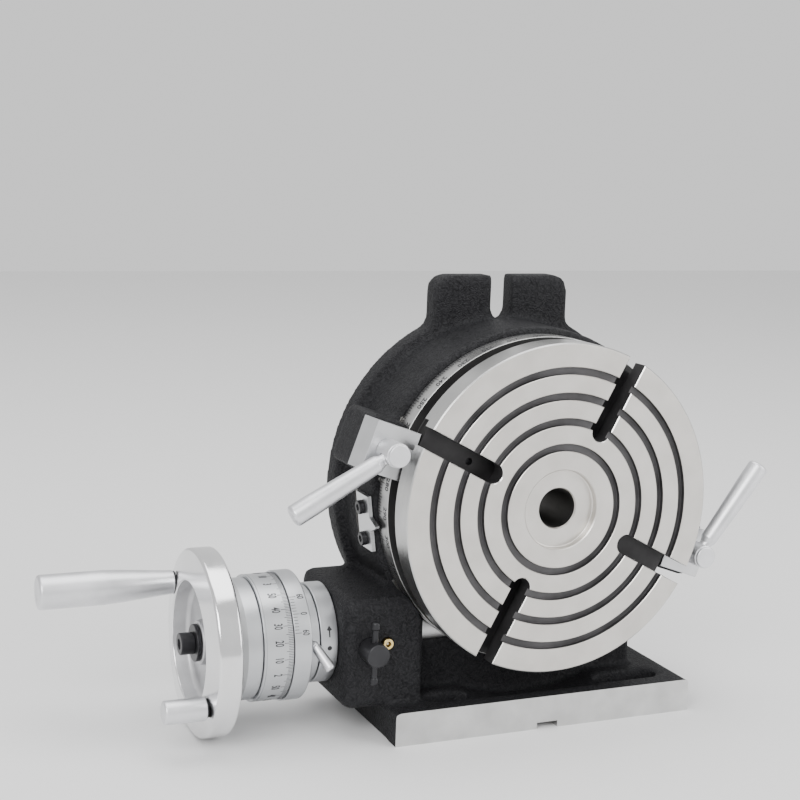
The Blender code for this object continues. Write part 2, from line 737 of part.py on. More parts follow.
# ---- bearings and the rear of the spindle -------------------------------------------------------
def make_spindle_pieces():
    bush_back = rear_recess_floor - gap
    bush = turned("spindle_bush", ring_profile(spindle_radius + bush_wall, spindle_radius + gap,
                                               wheel_back + 0.0073, bush_back), table_matrix(), "bronze")
    nut = turned("spindle_nut", ring_profile(0.0385, spindle_radius + gap, rear_recess_floor + gap,
                                             spindle_end, 0.0006), table_matrix(), "steel", sides=24)
    cover_front = spindle_end + 0.0007
    cover_back = plate_back - gap
    cover = turned("rear_cover", ring_profile(rear_recess_radius - gap, cover_bore, cover_front,
                                              cover_back, 0.0005),
                   table_matrix(), "black_paint")
    spacer_screws = []
    for number, degrees in enumerate(cover_screw_angles):
        seat = plate_back - gap - 0.0022
        cut(cover, rod(f"cover_clearance_{number + 1}", cover_shank_radius + gap,
                       polar(cover_screw_radius, degrees, cover_front - 0.005),
                       polar(cover_screw_radius, degrees, plate_back + 0.01), sides=16))
        cut(cover, rod(f"cover_counterbore_{number + 1}", 0.0042,
                       polar(cover_screw_radius, degrees, seat - gap),
                       polar(cover_screw_radius, degrees, plate_back + 0.01), sides=20))
        screw = socket_screw(f"cover_screw_{number + 1}", 0.0037, 0.0021, 0.002, seat
                             - rear_recess_floor + 0.006,
                             Matrix.Translation(polar(cover_screw_radius, degrees, seat)) @ into_machine)
        spacer_screws.append(screw)
    wheel_screws = []
    for number, degrees in enumerate(wheel_screw_angles):
        seat = wheel_back - wheel_head_height
        wheel_screws.append(socket_screw(f"wheel_screw_{number + 1}", wheel_head_radius,
                                         wheel_head_height - wheel_head_slack,
                                         wheel_shank_radius, seat - wheel_front + 0.012,
                                         Matrix.Translation(polar(wheel_screw_radius, degrees,
                                                                  seat)) @ into_machine))
    return [bush, cover] + spacer_screws, [nut] + wheel_screws


# ---- index pointer ------------------------------------------------------------------------------
def make_pointer():
    half = pointer_half_height
    outline = [(pointer_start, -half), (pointer_start + pointer_width, -half),
               (pointer_start + pointer_width, half), (pointer_start, half),
               (pointer_start, 0.0045), (pointer_tip, 0.0006), (pointer_tip, -0.0006),
               (pointer_start, -0.0045)]
    middle = (pointer_start + pointer_width / 2, 0)
    outline = [(x - middle[0], z) for x, z in outline]
    stand = Matrix((Vector((0, 1, 0)), pointer_along, pointer_normal)).transposed().to_4x4()
    spot = polar(pointer_seat_radius + gap, pointer_angle, middle[0])
    plate = extruded("index_pointer", outline, pointer_thickness, Matrix.Translation(spot) @ stand,
                     "satin_chrome")
    screws = []
    for number, place_on_seat in enumerate(pointer_screw_places()):
        cut(plate, rod(f"pointer_clearance_{number + 1}", pointer_shank_radius + gap, place_on_seat
                       - pointer_normal * 0.005,
                       place_on_seat + pointer_normal * 0.01, sides=20))
        face = place_on_seat + pointer_normal * (pointer_thickness + 2 * gap)
        turn = pointer_normal.to_track_quat('Z', 'Y').to_matrix().to_4x4()
        screws.append(socket_screw(f"pointer_screw_{number + 1}", pointer_head_radius, pointer_head_height,
                                   pointer_shank_radius,
                                   pointer_thickness + 2 * gap + pointer_shank_length,
                                   Matrix.Translation(face) @ turn))
    return [plate] + screws


# ---- table clamps -------------------------------------------------------------------------------
def make_clamp(side, degrees, lever_angle):
    jaw_back = groove_back - 0.0004
    jaw_front = jaw_back - jaw_thickness
    jaw_inner = clamp_groove_radius + 0.0006
    stud = rod(f"{side}_clamp_stud", stud_radius, polar(clamp_radius, degrees, groove_back + stud_depth),
               polar(clamp_radius, degrees, 0.0045), "steel", sides=24)
    middle_radius = (jaw_inner + jaw_outer) / 2
    jaw = box(f"{side}_clamp_jaw", (jaw_outer - jaw_inner, jaw_thickness, jaw_half_width * 2),
              radial_matrix(degrees, middle_radius, (jaw_front + jaw_back) / 2), "satin_chrome")
    facet_turn = Matrix.Rotation(math.radians(-32), 4, 'Z')
    facet = box(f"{side}_jaw_facet", (0.02, 0.04, 0.05),
                radial_matrix(degrees, jaw_outer - jaw_heel, jaw_front) @ facet_turn
                @ Matrix.Translation((0.01, 0, 0)))
    hole = rod(f"{side}_jaw_hole", stud_radius + gap, polar(clamp_radius, degrees, jaw_back + 0.01),
               polar(clamp_radius, degrees, jaw_front - 0.01), sides=24)
    cut(jaw, facet, hole)
    hub_back = jaw_front - gap
    hub_front = hub_back - lever_hub_length
    lever = rod(f"{side}_clamp_lever", lever_hub_radius, polar(clamp_radius, degrees, hub_back),
                polar(clamp_radius, degrees, hub_front), "satin_chrome", sides=20)
    bevel(lever, 0.0008, 1)
    direction = math.radians(lever_angle)
    reach = Vector((math.cos(direction), 0, math.sin(direction)))
    start = polar(clamp_radius, degrees, hub_back - lever_hub_length / 2)
    arm = rod(f"{side}_lever_arm", lever_neck_radius, start, start + reach * lever_length, sides=16,
              end_radius=lever_end_radius)
    bevel(arm, lever_end_round, 2)
    bore = rod(f"{side}_lever_bore", stud_radius + gap, polar(clamp_radius, degrees, hub_back + 0.01),
               polar(clamp_radius, degrees, 0.0042), sides=24)
    join(lever, arm)
    cut(lever, bore)
    turn = pivot(f"{side}_clamp_pivot", Matrix.Translation(polar(clamp_radius, degrees,
                                                                 hub_front)) @ into_machine)
    parent_to(turn, lever)
    return [stud], jaw, lever


# ---- eccentric sleeve, vernier and worm bearings -------------------------------------------------
def make_mark_ring():
    """The fixed ring in front of the housing that the sleeve's lever is read against."""
    edge = 0.0006
    ring = turned("mark_ring", [(0, mark_ring_end), (mark_ring_radius - edge, mark_ring_end),
                                (mark_ring_radius, mark_ring_end - edge),
                                (mark_ring_radius, mark_ring_start),
                                (0, mark_ring_start)], worm_matrix(), "satin_chrome", sides=40)
    sleeve_depth = worm_depth + sleeve_offset
    cut(ring, rod("mark_ring_bore", sleeve_radius + gap,
                  place(-mark_ring_start + 0.01, sleeve_depth, -worm_drop),
                  place(-mark_ring_end - 0.01, sleeve_depth, -worm_drop), sides=32))
    return ring


def make_sleeve_pieces():
    lift = Matrix.Translation((0, sleeve_offset, 0))
    sleeve = turned("eccentric_sleeve", [(0, flange_start + 0.001), (sleeve_radius, flange_start + 0.001),
                                         (sleeve_radius, sleeve_inner_end), (0, sleeve_inner_end)],
                    lift @ worm_matrix(), "satin_chrome")
    flange = turned("sleeve_flange", [(0, flange_end + spigot_length),
                                      (spigot_radius, flange_end + spigot_length),
                                      (spigot_radius, flange_end), (flange_radius - 0.0006, flange_end),
                                      (flange_radius, flange_end - 0.0006), (flange_radius, flange_start),
                                      (0, flange_start)], worm_matrix(), sides=40)
    bore = rod("sleeve_bush_bore", bush_radius + gap,
               place(-sleeve_inner_end + 0.01, worm_depth, -worm_drop),
               place(-flange_end - 0.02, worm_depth, -worm_drop), sides=32)
    pin_turn = math.radians(lever_pin_angle)
    pin_direction = Vector((0, -math.cos(pin_turn), math.sin(pin_turn)))
    pin_root = place(-(flange_start + flange_end) / 2, worm_depth, -worm_drop)
    pin_hole = rod("lever_pin_hole", lever_pin_radius + gap, pin_root
                   + pin_direction * (flange_radius - 0.009),
                   pin_root + pin_direction * (flange_radius + 0.01), sides=20)
    join(sleeve, flange)
    cut(sleeve, bore, pin_hole)
    vernier = turned("vernier_ring", ring_profile(vernier_radius, spigot_radius + gap, vernier_start,
                                                  vernier_end, 0.0005), worm_matrix(), "satin_chrome",
                     sides=36)
    pin_start = pin_root + pin_direction * (flange_radius - 0.0085)
    pin_middle = pin_root + pin_direction * (flange_radius + 0.003)
    pin_end = pin_middle + Vector(lever_lean).normalized() * lever_reach
    pin = rod("sleeve_lever", lever_pin_radius, pin_start, pin_middle + pin_direction * 0.001,
              "satin_chrome", sides=20)
    grip = rod("sleeve_lever_grip", lever_pin_radius + gap, pin_middle, pin_end, sides=16,
               end_radius=lever_grip_radius)
    bevel(grip, 0.0006, 1)
    join(pin, grip)
    inner = turned("worm_bush_inner", ring_profile(bush_radius, journal_radius + gap, sleeve_inner_end
                                                   + gap,
                                                   sleeve_inner_end + 0.022), worm_matrix(), "bronze")
    outer = turned("worm_bush_outer", ring_profile(bush_radius, journal_radius + gap, flange_end - 0.016,
                                                   flange_end + spigot_length), worm_matrix(), "bronze")
    nut = turned("thrust_nut", ring_profile(thrust_nut_radius, journal_radius + gap, flange_end
                                            + spigot_length + gap,
                                            vernier_end - gap, 0.0004), worm_matrix(), "steel", sides=24)
    return [sleeve, vernier, pin, inner, outer], nut


# ---- dial, collar and handwheel -----------------------------------------------------------------
def make_dial_pieces():
    dial = turned("dial_ring", ring_profile(dial_radius, journal_radius + gap, dial_start, dial_end,
                                            0.0005),
                  worm_matrix(), "satin_chrome", sides=36)
    narrow, taper = collar_taper
    collar = turned("dial_collar", [(journal_radius + gap, collar_end),
                                    (collar_radius - narrow, collar_end),
                                    (collar_radius, collar_end - taper), (collar_radius, collar_start),
                                    (journal_radius + gap, collar_start)],
                    worm_matrix(), "aluminium", sides=40)
    return dial, collar


def handwheel_profile():
    front = wheel_rim_front
    back = wheel_rim_back
    hub = handwheel_hub
    inner = handwheel_rim_inner
    outer = handwheel_radius
    bore = wheel_seat_radius + gap
    hub_top = front - hub_setback
    dish = front - dish_depth
    rim = [(inner, front - 0.0008), (inner + 0.0008, front)]
    rim += [(outer - rim_round + x, front - rim_slope - rim_round + z)
            for x, z in arc((0, 0), rim_round, 80, 0, 2)]
    rim += [(outer - rim_round + x, back + rim_round + z) for x, z in arc((0, 0), rim_round, 0, -90, 2)]
    return ([(bore, hub_top), (hub, hub_top), (hub + 0.001, dish), (inner - 0.0015, dish)] + rim
            + [(inner + 0.002, back), (inner - 0.001, back + web_recess), (hub + 0.004, back + web_recess),
               (hub + 0.002, back), (bore, back)])


def on_handwheel(degrees, distance):
    direction = math.radians(degrees)
    return place(-distance, worm_depth + crank_radius * math.cos(direction),
                 -worm_drop + crank_radius * math.sin(direction))


def make_handwheel_pieces():
    wheel = turned("handwheel", handwheel_profile(), worm_matrix(), "aluminium", sides=40)
    slot = box_between("handwheel_keyway", (-wheel_rim_front - 0.01, worm_depth - key_width / 2 - gap,
                                            -worm_drop + 0.004),
                       (-hub_start + 0.01, worm_depth + key_width / 2 + gap, -worm_drop + key_top + gap))
    for number, degrees in enumerate((crank_angle, crank_angle + 180)):
        pin_radius = (crank_pin_radius, knob_pin_radius)[number]
        spot_radius = (handle_neck_radius, knob_radius)[number] + grip_spot_margin
        cut(wheel, rod(f"grip_spot_{number + 1}", spot_radius,
                       on_handwheel(degrees, wheel_rim_front - grip_spot),
                       on_handwheel(degrees, wheel_rim_front + 0.01), sides=32))
        cut(wheel, rod(f"grip_hole_{number + 1}", pin_radius + gap,
                       on_handwheel(degrees, wheel_rim_back - 0.01),
                       on_handwheel(degrees, wheel_rim_front + 0.01), sides=20))
    cut(wheel, slot)
    key = box_between("handwheel_key", (-shaft_end + gap, worm_depth - key_width / 2, -worm_drop
                                        + key_floor),
                      (-key_start, worm_depth + key_width / 2, -worm_drop + key_top), "steel")
    washer_start = wheel_rim_front - hub_setback + gap
    washer = turned("hub_washer", ring_profile(washer_radius, hub_shank_radius + gap, washer_start,
                                                washer_start + washer_thickness, 0.0004),
                    worm_matrix(), "black_oxide", sides=24)
    screw = socket_screw("hub_screw", hub_head_radius, hub_head_height, hub_shank_radius, 0.020,
                         worm_matrix(washer_start + washer_thickness + gap))
    return wheel, key, washer, screw


def make_grip(name, pin_name, degrees, pin_radius, profile, head, start, sides):
    # A grip turns on a shoulder pin whose head sits inside the grip's closed outer end.
    head_radius, head_seat, head_height = head
    shoulder = profile[-1][0] - grip_shoulder_inset
    pin_profile = [(0, head_seat + gap + head_height), (head_radius, head_seat + gap + head_height),
                   (head_radius, head_seat + gap), (pin_radius, head_seat + gap),
                   (pin_radius, grip_start + grip_shoulder), (shoulder, grip_start + grip_shoulder),
                   (shoulder, grip_start), (pin_radius, grip_start),
                   (pin_radius, wheel_rim_back + 0.0005), (0, wheel_rim_back + 0.0005)]
    direction = math.radians(degrees)
    centre = worm_matrix(0, crank_radius * math.sin(direction), crank_radius * math.cos(direction))
    pin = turned(pin_name, pin_profile, centre, "black_oxide", sides=18)
    bore = pin_radius + gap + 0.0001
    counter = head_radius + gap
    head_top = head_seat + head_height + 3 * gap
    outline = ([(0, profile[0][1])] + profile
               + [(bore, start), (bore, head_seat), (counter, head_seat), (counter, head_top),
                  (0, head_top)])
    grip = turned(name, outline, centre, "satin_chrome", sides)
    return pin, grip


def make_grips():
    handle_profile = [(handle_radius - 0.0012, handle_end), (handle_radius, handle_end - 0.0012),
                      (handle_radius, handle_start + handle_length * 0.52),
                      (handle_radius - 0.0006, handle_start + handle_length * 0.40),
                      (handle_neck_radius + 0.0004, handle_start + 0.005),
                      (handle_neck_radius, handle_start)]
    crank_pin, crank = make_grip("crank_handle", "crank_pin", crank_angle, crank_pin_radius, handle_profile,
                                 (0.0060, handle_end - 0.0105, 0.0040), handle_start, 28)
    knob_profile = [(knob_radius - 0.0008, knob_end), (knob_radius, knob_end - 0.0008),
                    (knob_radius, knob_start + 0.0008), (knob_radius - 0.0008, knob_start)]
    knob_pin, knob = make_grip("small_knob", "knob_pin", crank_angle + 180, knob_pin_radius, knob_profile,
                               (0.0045, knob_end - 0.0070, 0.0030), knob_start, 24)
    return crank_pin, crank, knob_pin, knob


# ---- lock screw and oiler -----------------------------------------------------------------------
def make_lock_screw():
    front = block_front - gap - lock_knob_length
    tip = worm_depth + sleeve_offset - sleeve_radius - 0.0008
    spin = Matrix.Translation(place(lock_screw_x, 0, -worm_drop)) @ into_machine
    profile = [(0, tip), (lock_shank_radius, tip), (lock_shank_radius, block_front - gap),
               (lock_knob_radius, block_front - gap), (lock_knob_radius, front + 0.0006),
               (lock_knob_radius - 0.0006, front), (0, front)]
    screw = turned("lock_screw", profile, spin, "black_oxide", sides=32)
    middle = place(lock_screw_x, front + 0.0066, -worm_drop)
    half = Vector((0, 0, lock_bar_length / 2))
    cut(screw, rod("lock_bar_hole", lock_bar_radius + gap, middle - half, middle + half, sides=16))
    bar = turned("lock_bar", [(0, lock_bar_length / 2), (0.0023, lock_bar_length / 2 - 0.0004),
                              (0.0027, lock_bar_length / 2 - 0.0016),
                              (0.0027, lock_bar_length / 2 - 0.0034),
                              (lock_bar_radius, lock_bar_length / 2 - 0.0044),
                              (lock_bar_radius, -lock_bar_length / 2 + 0.0044),
                              (0.0027, -lock_bar_length / 2 + 0.0034),
                              (0.0027, -lock_bar_length / 2 + 0.0016),
                              (0.0023, -lock_bar_length / 2 + 0.0004), (0, -lock_bar_length / 2)],
                 Matrix.Translation(middle), "black_oxide", sides=20)
    return screw, bar


def make_oiler():
    spin = Matrix.Translation(place(oiler_x, block_front, oiler_z)) @ into_machine
    body = turned("oiler_body", [(0, oiler_seat), (oiler_radius, oiler_seat), (oiler_radius, -0.0006),
                                 (oiler_radius - 0.0006, -0.0014), (0.0016, -0.0014),
                                 (0.0016, 0.0002), (0.0020, 0.0006), (0.0020, 0.005), (0, 0.005)],
                  spin, "brass", sides=28)
    ball = bpy.data.objects.new("oiler_ball", bpy.data.meshes.new("oiler_ball"))
    bm = bmesh.new()
    bmesh.ops.create_uvsphere(bm, u_segments=10, v_segments=6, radius=oiler_ball_radius)
    bm.to_mesh(ball.data)
    bm.free()
    ball.data.materials.append(finish_material("oiler_ball", *finishes["steel"]))
    ball.data.shade_smooth()
    parts.objects.link(ball)
    ball.matrix_world = Matrix.Translation(place(oiler_x, block_front + 0.0009, oiler_z))
    return body, ball


# ---- assembly -----------------------------------------------------------------------------------
def build():
    base = make_base()
    table = make_table()
    wheel = make_worm_wheel()
    fixed, turning = make_spindle_pieces()
    pointer = make_pointer()
    left_fixed, left_jaw, left_lever = make_clamp("left", clamp_angle, left_lever_angle)
    right_fixed, right_jaw, right_lever = make_clamp("right", clamp_angle + 180, right_lever_angle)
    mark_ring = make_mark_ring()
    sleeve_pieces, nut = make_sleeve_pieces()
    shaft = make_worm_shaft()
    dial, collar = make_dial_pieces()
    handwheel, key, washer, hub_screw = make_handwheel_pieces()
    crank_pin, crank, knob_pin, knob = make_grips()
    lock_screw, lock_bar = make_lock_screw()
    oiler, ball = make_oiler()
    table_pivot = pivot("table_axis", table_matrix())
    parent_to(table_pivot, table, wheel, *turning)
    worm_pivot = pivot("worm_axis", worm_matrix())
    parent_to(worm_pivot, shaft, nut, dial, collar, handwheel, key, washer, hub_screw, crank_pin, crank,
              knob_pin, knob)
    sleeve_pivot = pivot("sleeve_axis", Matrix.Translation((0, sleeve_offset, 0)) @ worm_matrix())
    parent_to(sleeve_pivot, worm_pivot, *sleeve_pieces)
    parent_to(base, *fixed, *pointer, *left_fixed, *right_fixed, mark_ring, oiler, ball)
    for piece in (base, table, wheel):
        piece.data.shade_smooth()
        piece.data.set_sharp_from_angle(angle=math.radians(30))


build()
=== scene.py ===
import json
import math

import bmesh
import bpy
from mathutils import Matrix, Vector


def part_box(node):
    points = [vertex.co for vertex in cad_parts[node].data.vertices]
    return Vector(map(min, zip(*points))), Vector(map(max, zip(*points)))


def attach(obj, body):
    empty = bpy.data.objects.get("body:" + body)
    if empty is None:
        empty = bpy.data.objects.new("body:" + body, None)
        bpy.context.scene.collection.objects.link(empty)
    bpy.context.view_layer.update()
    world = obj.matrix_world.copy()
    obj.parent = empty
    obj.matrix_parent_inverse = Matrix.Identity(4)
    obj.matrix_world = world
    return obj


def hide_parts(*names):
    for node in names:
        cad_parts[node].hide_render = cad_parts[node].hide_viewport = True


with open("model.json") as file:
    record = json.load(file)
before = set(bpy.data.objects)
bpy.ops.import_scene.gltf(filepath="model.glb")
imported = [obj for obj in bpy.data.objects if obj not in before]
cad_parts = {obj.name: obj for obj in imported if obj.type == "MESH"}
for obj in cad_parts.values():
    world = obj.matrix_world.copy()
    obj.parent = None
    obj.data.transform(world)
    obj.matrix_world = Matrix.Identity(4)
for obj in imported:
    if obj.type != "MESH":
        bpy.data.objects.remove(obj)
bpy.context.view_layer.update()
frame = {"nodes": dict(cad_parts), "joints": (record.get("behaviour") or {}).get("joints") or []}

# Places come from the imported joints: the table axis runs along +Y through the face centre, the worm
# axis runs along X, and distances along the worm are counted from the table axis towards -X.
jointSpot = {joint["name"]: Vector(joint.get("pos_m", (0, 0, 0))) for joint in frame["joints"]}
tableSpot = jointSpot["table_spin"]
wormSpot = Vector((tableSpot.x, jointSpot["worm_spin"].y, jointSpot["worm_spin"].z))
crankSpot = Vector((tableSpot.x, jointSpot["crank_handle_spin"].y, jointSpot["crank_handle_spin"].z))
knobSpot = Vector((tableSpot.x, jointSpot["small_knob_spin"].y, jointSpot["small_knob_spin"].z))

intoMachine = Matrix.Rotation(math.radians(-90), 4, 'X')      # local Z to +Y
towardWheel = Matrix.Rotation(math.radians(-90), 4, 'Y')      # local Z to -X
tableFrame = Matrix.Translation(tableSpot) @ intoMachine
wormFrame = Matrix.Translation(wormSpot) @ towardWheel
crankFrame = Matrix.Translation(crankSpot) @ towardWheel
knobFrame = Matrix.Translation(knobSpot) @ towardWheel

scene = bpy.context.scene


def report(stage):
    print("stage:", stage)


def radialFrame(degrees, radius=0.0, depth=0.0):
    # X outwards from the table axis, Y into the machine, Z round the table
    angle = math.radians(degrees)
    outward = Vector((math.cos(angle), 0, math.sin(angle)))
    inward = Vector((0, 1, 0))
    turn = Matrix((outward, inward, outward.cross(inward))).transposed().to_4x4()
    return Matrix.Translation(tableSpot + outward * radius + inward * depth) @ turn


def axisFrame(start, direction):
    return Matrix.Translation(start) @ direction.to_track_quat('Z', 'Y').to_matrix().to_4x4()


def newGroup(name, inputs, outputs):
    # a number is an input's own value, and None makes it a vector
    group = bpy.data.node_groups.new(name, 'ShaderNodeTree')
    for label, value in inputs.items():
        kind = 'NodeSocketVector' if value is None else 'NodeSocketFloat'
        socket = group.interface.new_socket(label, in_out='INPUT', socket_type=kind)
        if value is not None:
            socket.default_value = value
    for label in outputs:
        group.interface.new_socket(label, in_out='OUTPUT', socket_type='NodeSocketFloat')
    return group, group.nodes.new('NodeGroupInput').outputs, group.nodes.new('NodeGroupOutput').inputs


def feed(tree, node, links):
    # each input is linked, or given a value
    for key, value in links.items():
        if isinstance(value, bpy.types.NodeSocket):
            tree.links.new(value, node.inputs[key])
        else:
            node.inputs[key].default_value = value


def wire(tree, kind, links=None, **settings):
    node = tree.nodes.new(kind)
    for key, value in settings.items():
        setattr(node, key, value)
    feed(tree, node, links or {})
    return node


def maths(tree, operation, first, second=0.0):
    return wire(tree, 'ShaderNodeMath', {0: first, 1: second}, operation=operation).outputs[0]


def noise(tree, vector, scale, detail):
    return wire(tree, 'ShaderNodeTexNoise', {"Vector": vector, "Scale": scale, "Detail": detail}).outputs


def between(tree, value, low, high, fromLow=0.3, fromHigh=0.7):
    return wire(tree, 'ShaderNodeMapRange', {"Value": value, "From Min": fromLow, "From Max": fromHigh,
                                             "To Min": low, "To Max": high}).outputs[0]


def toolMarksGroup():
    # fine lathe lines round the local Z axis: rings on a face, lines round a rim
    group, given, out = newGroup("toolMarks", {"Centred": None, "Lines": 4000.0, "Patch Size": 60.0},
                                 ("Lines", "Patches"))
    parts = wire(group, 'ShaderNodeSeparateXYZ', {0: given["Centred"]}).outputs
    flat = wire(group, 'ShaderNodeCombineXYZ', {0: parts[0], 1: parts[1]}).outputs[0]
    radius = wire(group, 'ShaderNodeVectorMath', {0: flat}, operation='LENGTH').outputs["Value"]
    spread = maths(group, 'MULTIPLY', maths(group, 'ADD', parts[2], radius), given["Lines"])
    lines = wire(group, 'ShaderNodeTexNoise', {"W": spread, "Scale": 1.0, "Detail": 2.0, "Roughness": 0.6},
                 noise_dimensions='1D')
    group.links.new(lines.outputs[0], out["Lines"])
    group.links.new(noise(group, given["Centred"], given["Patch Size"], 3.0)[0], out["Patches"])
    return group


def fineGrainGroup():
    # a fine even grain and a broad cloudiness
    group, given, out = newGroup("fineGrain", {"Vector": None, "Grain": 3000.0, "Cloud": 40.0}, ("Grain", "Cloud"))
    for label, detail in (("Grain", 2.0), ("Cloud", 3.0)):
        group.links.new(noise(group, given["Vector"], given[label], detail)[0], out[label])
    return group


def edgeWearGroup():
    # a mask for a painted highlight: 1 on proud edges, broken up by noise
    group, given, out = newGroup("edgeHighlight", {"Vector": None, "Start": 0.53, "End": 0.60, "Break Up": 300.0},
                                 ("Mask",))
    form = wire(group, 'ShaderNodeNewGeometry').outputs["Pointiness"]
    ramp = between(group, form, 0.0, 1.0, given["Start"], given["End"])
    rough = between(group, noise(group, given["Vector"], given["Break Up"], 3.0)[0], 0.0, 1.0, 0.35, 0.65)
    group.links.new(maths(group, 'MULTIPLY', ramp, rough), out["Mask"])
    return group


toolMarks = toolMarksGroup()
fineGrain = fineGrainGroup()
edgeHighlight = edgeWearGroup()


def newMaterial(name, constants):
    material = bpy.data.materials.new(name)
    material.use_nodes = True
    tree = material.node_tree
    shader = tree.nodes["Principled BSDF"]
    feed(tree, shader, constants)
    return material, tree, shader, wire(tree, 'ShaderNodeTexCoord').outputs["Object"]


def useGroup(tree, group, links):
    return wire(tree, 'ShaderNodeGroup', links, node_tree=group).outputs


def blendColour(tree, mask, first, second):
    first, second = (value if isinstance(value, bpy.types.NodeSocket) else (*value, 1.0)
                     for value in (first, second))
    return wire(tree, 'ShaderNodeMix', {"Factor": mask, 6: first, 7: second}, data_type='RGBA').outputs[2]


def bumpFrom(tree, shader, height, strength, distance):
    bump = wire(tree, 'ShaderNodeBump', {"Height": height, "Strength": strength, "Distance": distance})
    feed(tree, shader, {"Normal": bump.outputs[0]})


def mixHeights(tree, first, second, share):
    return maths(tree, 'ADD', first, maths(tree, 'MULTIPLY', second, share))


def turnedMetal(name, placeMatrix, colour, darkColour, roughness, lineScale=4000.0, bump=0.12,
                anisotropy=0.0, metallic=1.0):
    # metal with fine lathe lines round the axis of placeMatrix
    material, tree, shader, coordinates = newMaterial(name, {"Metallic": metallic, "Anisotropic": anisotropy})
    inverse = placeMatrix.inverted()
    centre = wire(tree, 'ShaderNodeMapping', {"Vector": coordinates, "Location": inverse.to_translation(),
                                              "Rotation": inverse.to_euler()})
    marks = useGroup(tree, toolMarks, {"Centred": centre.outputs[0], "Lines": lineScale, "Patch Size": 45.0})
    grain = useGroup(tree, fineGrain, {"Vector": coordinates, "Grain": 2200.0, "Cloud": 30.0})
    tone = mixHeights(tree, marks["Patches"], marks["Lines"], 0.5)
    dull = mixHeights(tree, marks["Lines"], grain["Cloud"], 0.6)
    feed(tree, shader, {
        "Base Color": blendColour(tree, between(tree, tone, 0.0, 1.0, 0.45, 1.05), darkColour, colour),
        "Roughness": between(tree, dull, roughness - 0.06, roughness + 0.08, 0.4, 1.2)})
    bumpFrom(tree, shader, mixHeights(tree, marks["Lines"], grain["Grain"], 0.35), bump, 0.00006)
    return material


def satinMetal(name, colour, darkColour, roughness, grainScale=1800.0, bump=0.15, metallic=1.0):
    # plated or blasted metal: an even fine grain
    material, tree, shader, coordinates = newMaterial(name, {"Metallic": metallic})
    grain = useGroup(tree, fineGrain, {"Vector": coordinates, "Grain": grainScale, "Cloud": 55.0})
    dull = mixHeights(tree, grain["Grain"], grain["Cloud"], 0.8)
    feed(tree, shader, {
        "Base Color": blendColour(tree, between(tree, grain["Cloud"], 0.0, 1.0), darkColour, colour),
        "Roughness": between(tree, dull, roughness - 0.05, roughness + 0.07, 0.6, 1.2)})
    bumpFrom(tree, shader, grain["Grain"], bump, 0.00008)
    return material


def wrinklePaint():
    # black wrinkle enamel on cast iron, with painted shade in its wrinkle hollows and a painted highlight on its proud
    # edges
    material, tree, shader, coordinates = newMaterial("blackWrinklePaint", {
        "Metallic": 0.0, "Specular IOR Level": 0.14})
    warp = noise(tree, coordinates, 160.0, 2.0)["Color"]
    bent = wire(tree, 'ShaderNodeMix', {"Factor": 0.012, 4: coordinates, 5: warp}, data_type='VECTOR')
    cells = wire(tree, 'ShaderNodeTexVoronoi', {"Vector": bent.outputs[1], "Scale": 640.0, "Smoothness": 0.6},
                 feature='SMOOTH_F1')
    grain = useGroup(tree, fineGrain, {"Vector": coordinates, "Grain": 1500.0, "Cloud": 18.0})
    highlight = useGroup(tree, edgeHighlight, {"Vector": coordinates, "Start": 0.515, "End": 0.60, "Break Up": 420.0})
    # the wrinkle's hollows are painted darker than its crests: painted shade in the creases
    hollowShade = between(tree, cells.outputs["Distance"], 0.0, 1.0, 0.15, 0.75)
    base = blendColour(tree, hollowShade, (0.024, 0.024, 0.026), (0.005, 0.005, 0.006))
    cloudy = blendColour(tree, between(tree, grain["Cloud"], 0.0, 0.35), base, (0.026, 0.026, 0.028))
    # proud edges are painted lighter than the rest: a painted highlight
    highlightShare = maths(tree, 'MULTIPLY', highlight["Mask"], 0.55)
    feed(tree, shader, {"Base Color": blendColour(tree, highlightShare, cloudy, (0.060, 0.060, 0.063)),
                        "Roughness": between(tree, grain["Grain"], 0.50, 0.68)})
    height = mixHeights(tree, grain["Grain"], cells.outputs["Distance"], -1.4)
    bumpFrom(tree, shader, height, 0.85, 0.00055)
    return material


def plainInk():
    # filled engraving: flat black with a slight unevenness
    material, tree, shader, coordinates = newMaterial("engravingInk", {"Metallic": 0.0})
    grain = useGroup(tree, fineGrain, {"Vector": coordinates, "Grain": 4000.0, "Cloud": 200.0})
    mask = between(tree, grain["Grain"], 0.0, 1.0)
    feed(tree, shader, {"Base Color": blendColour(tree, mask, (0.012, 0.012, 0.014), (0.035, 0.035, 0.038)),
                        "Roughness": between(tree, grain["Cloud"], 0.45, 0.65)})
    return material


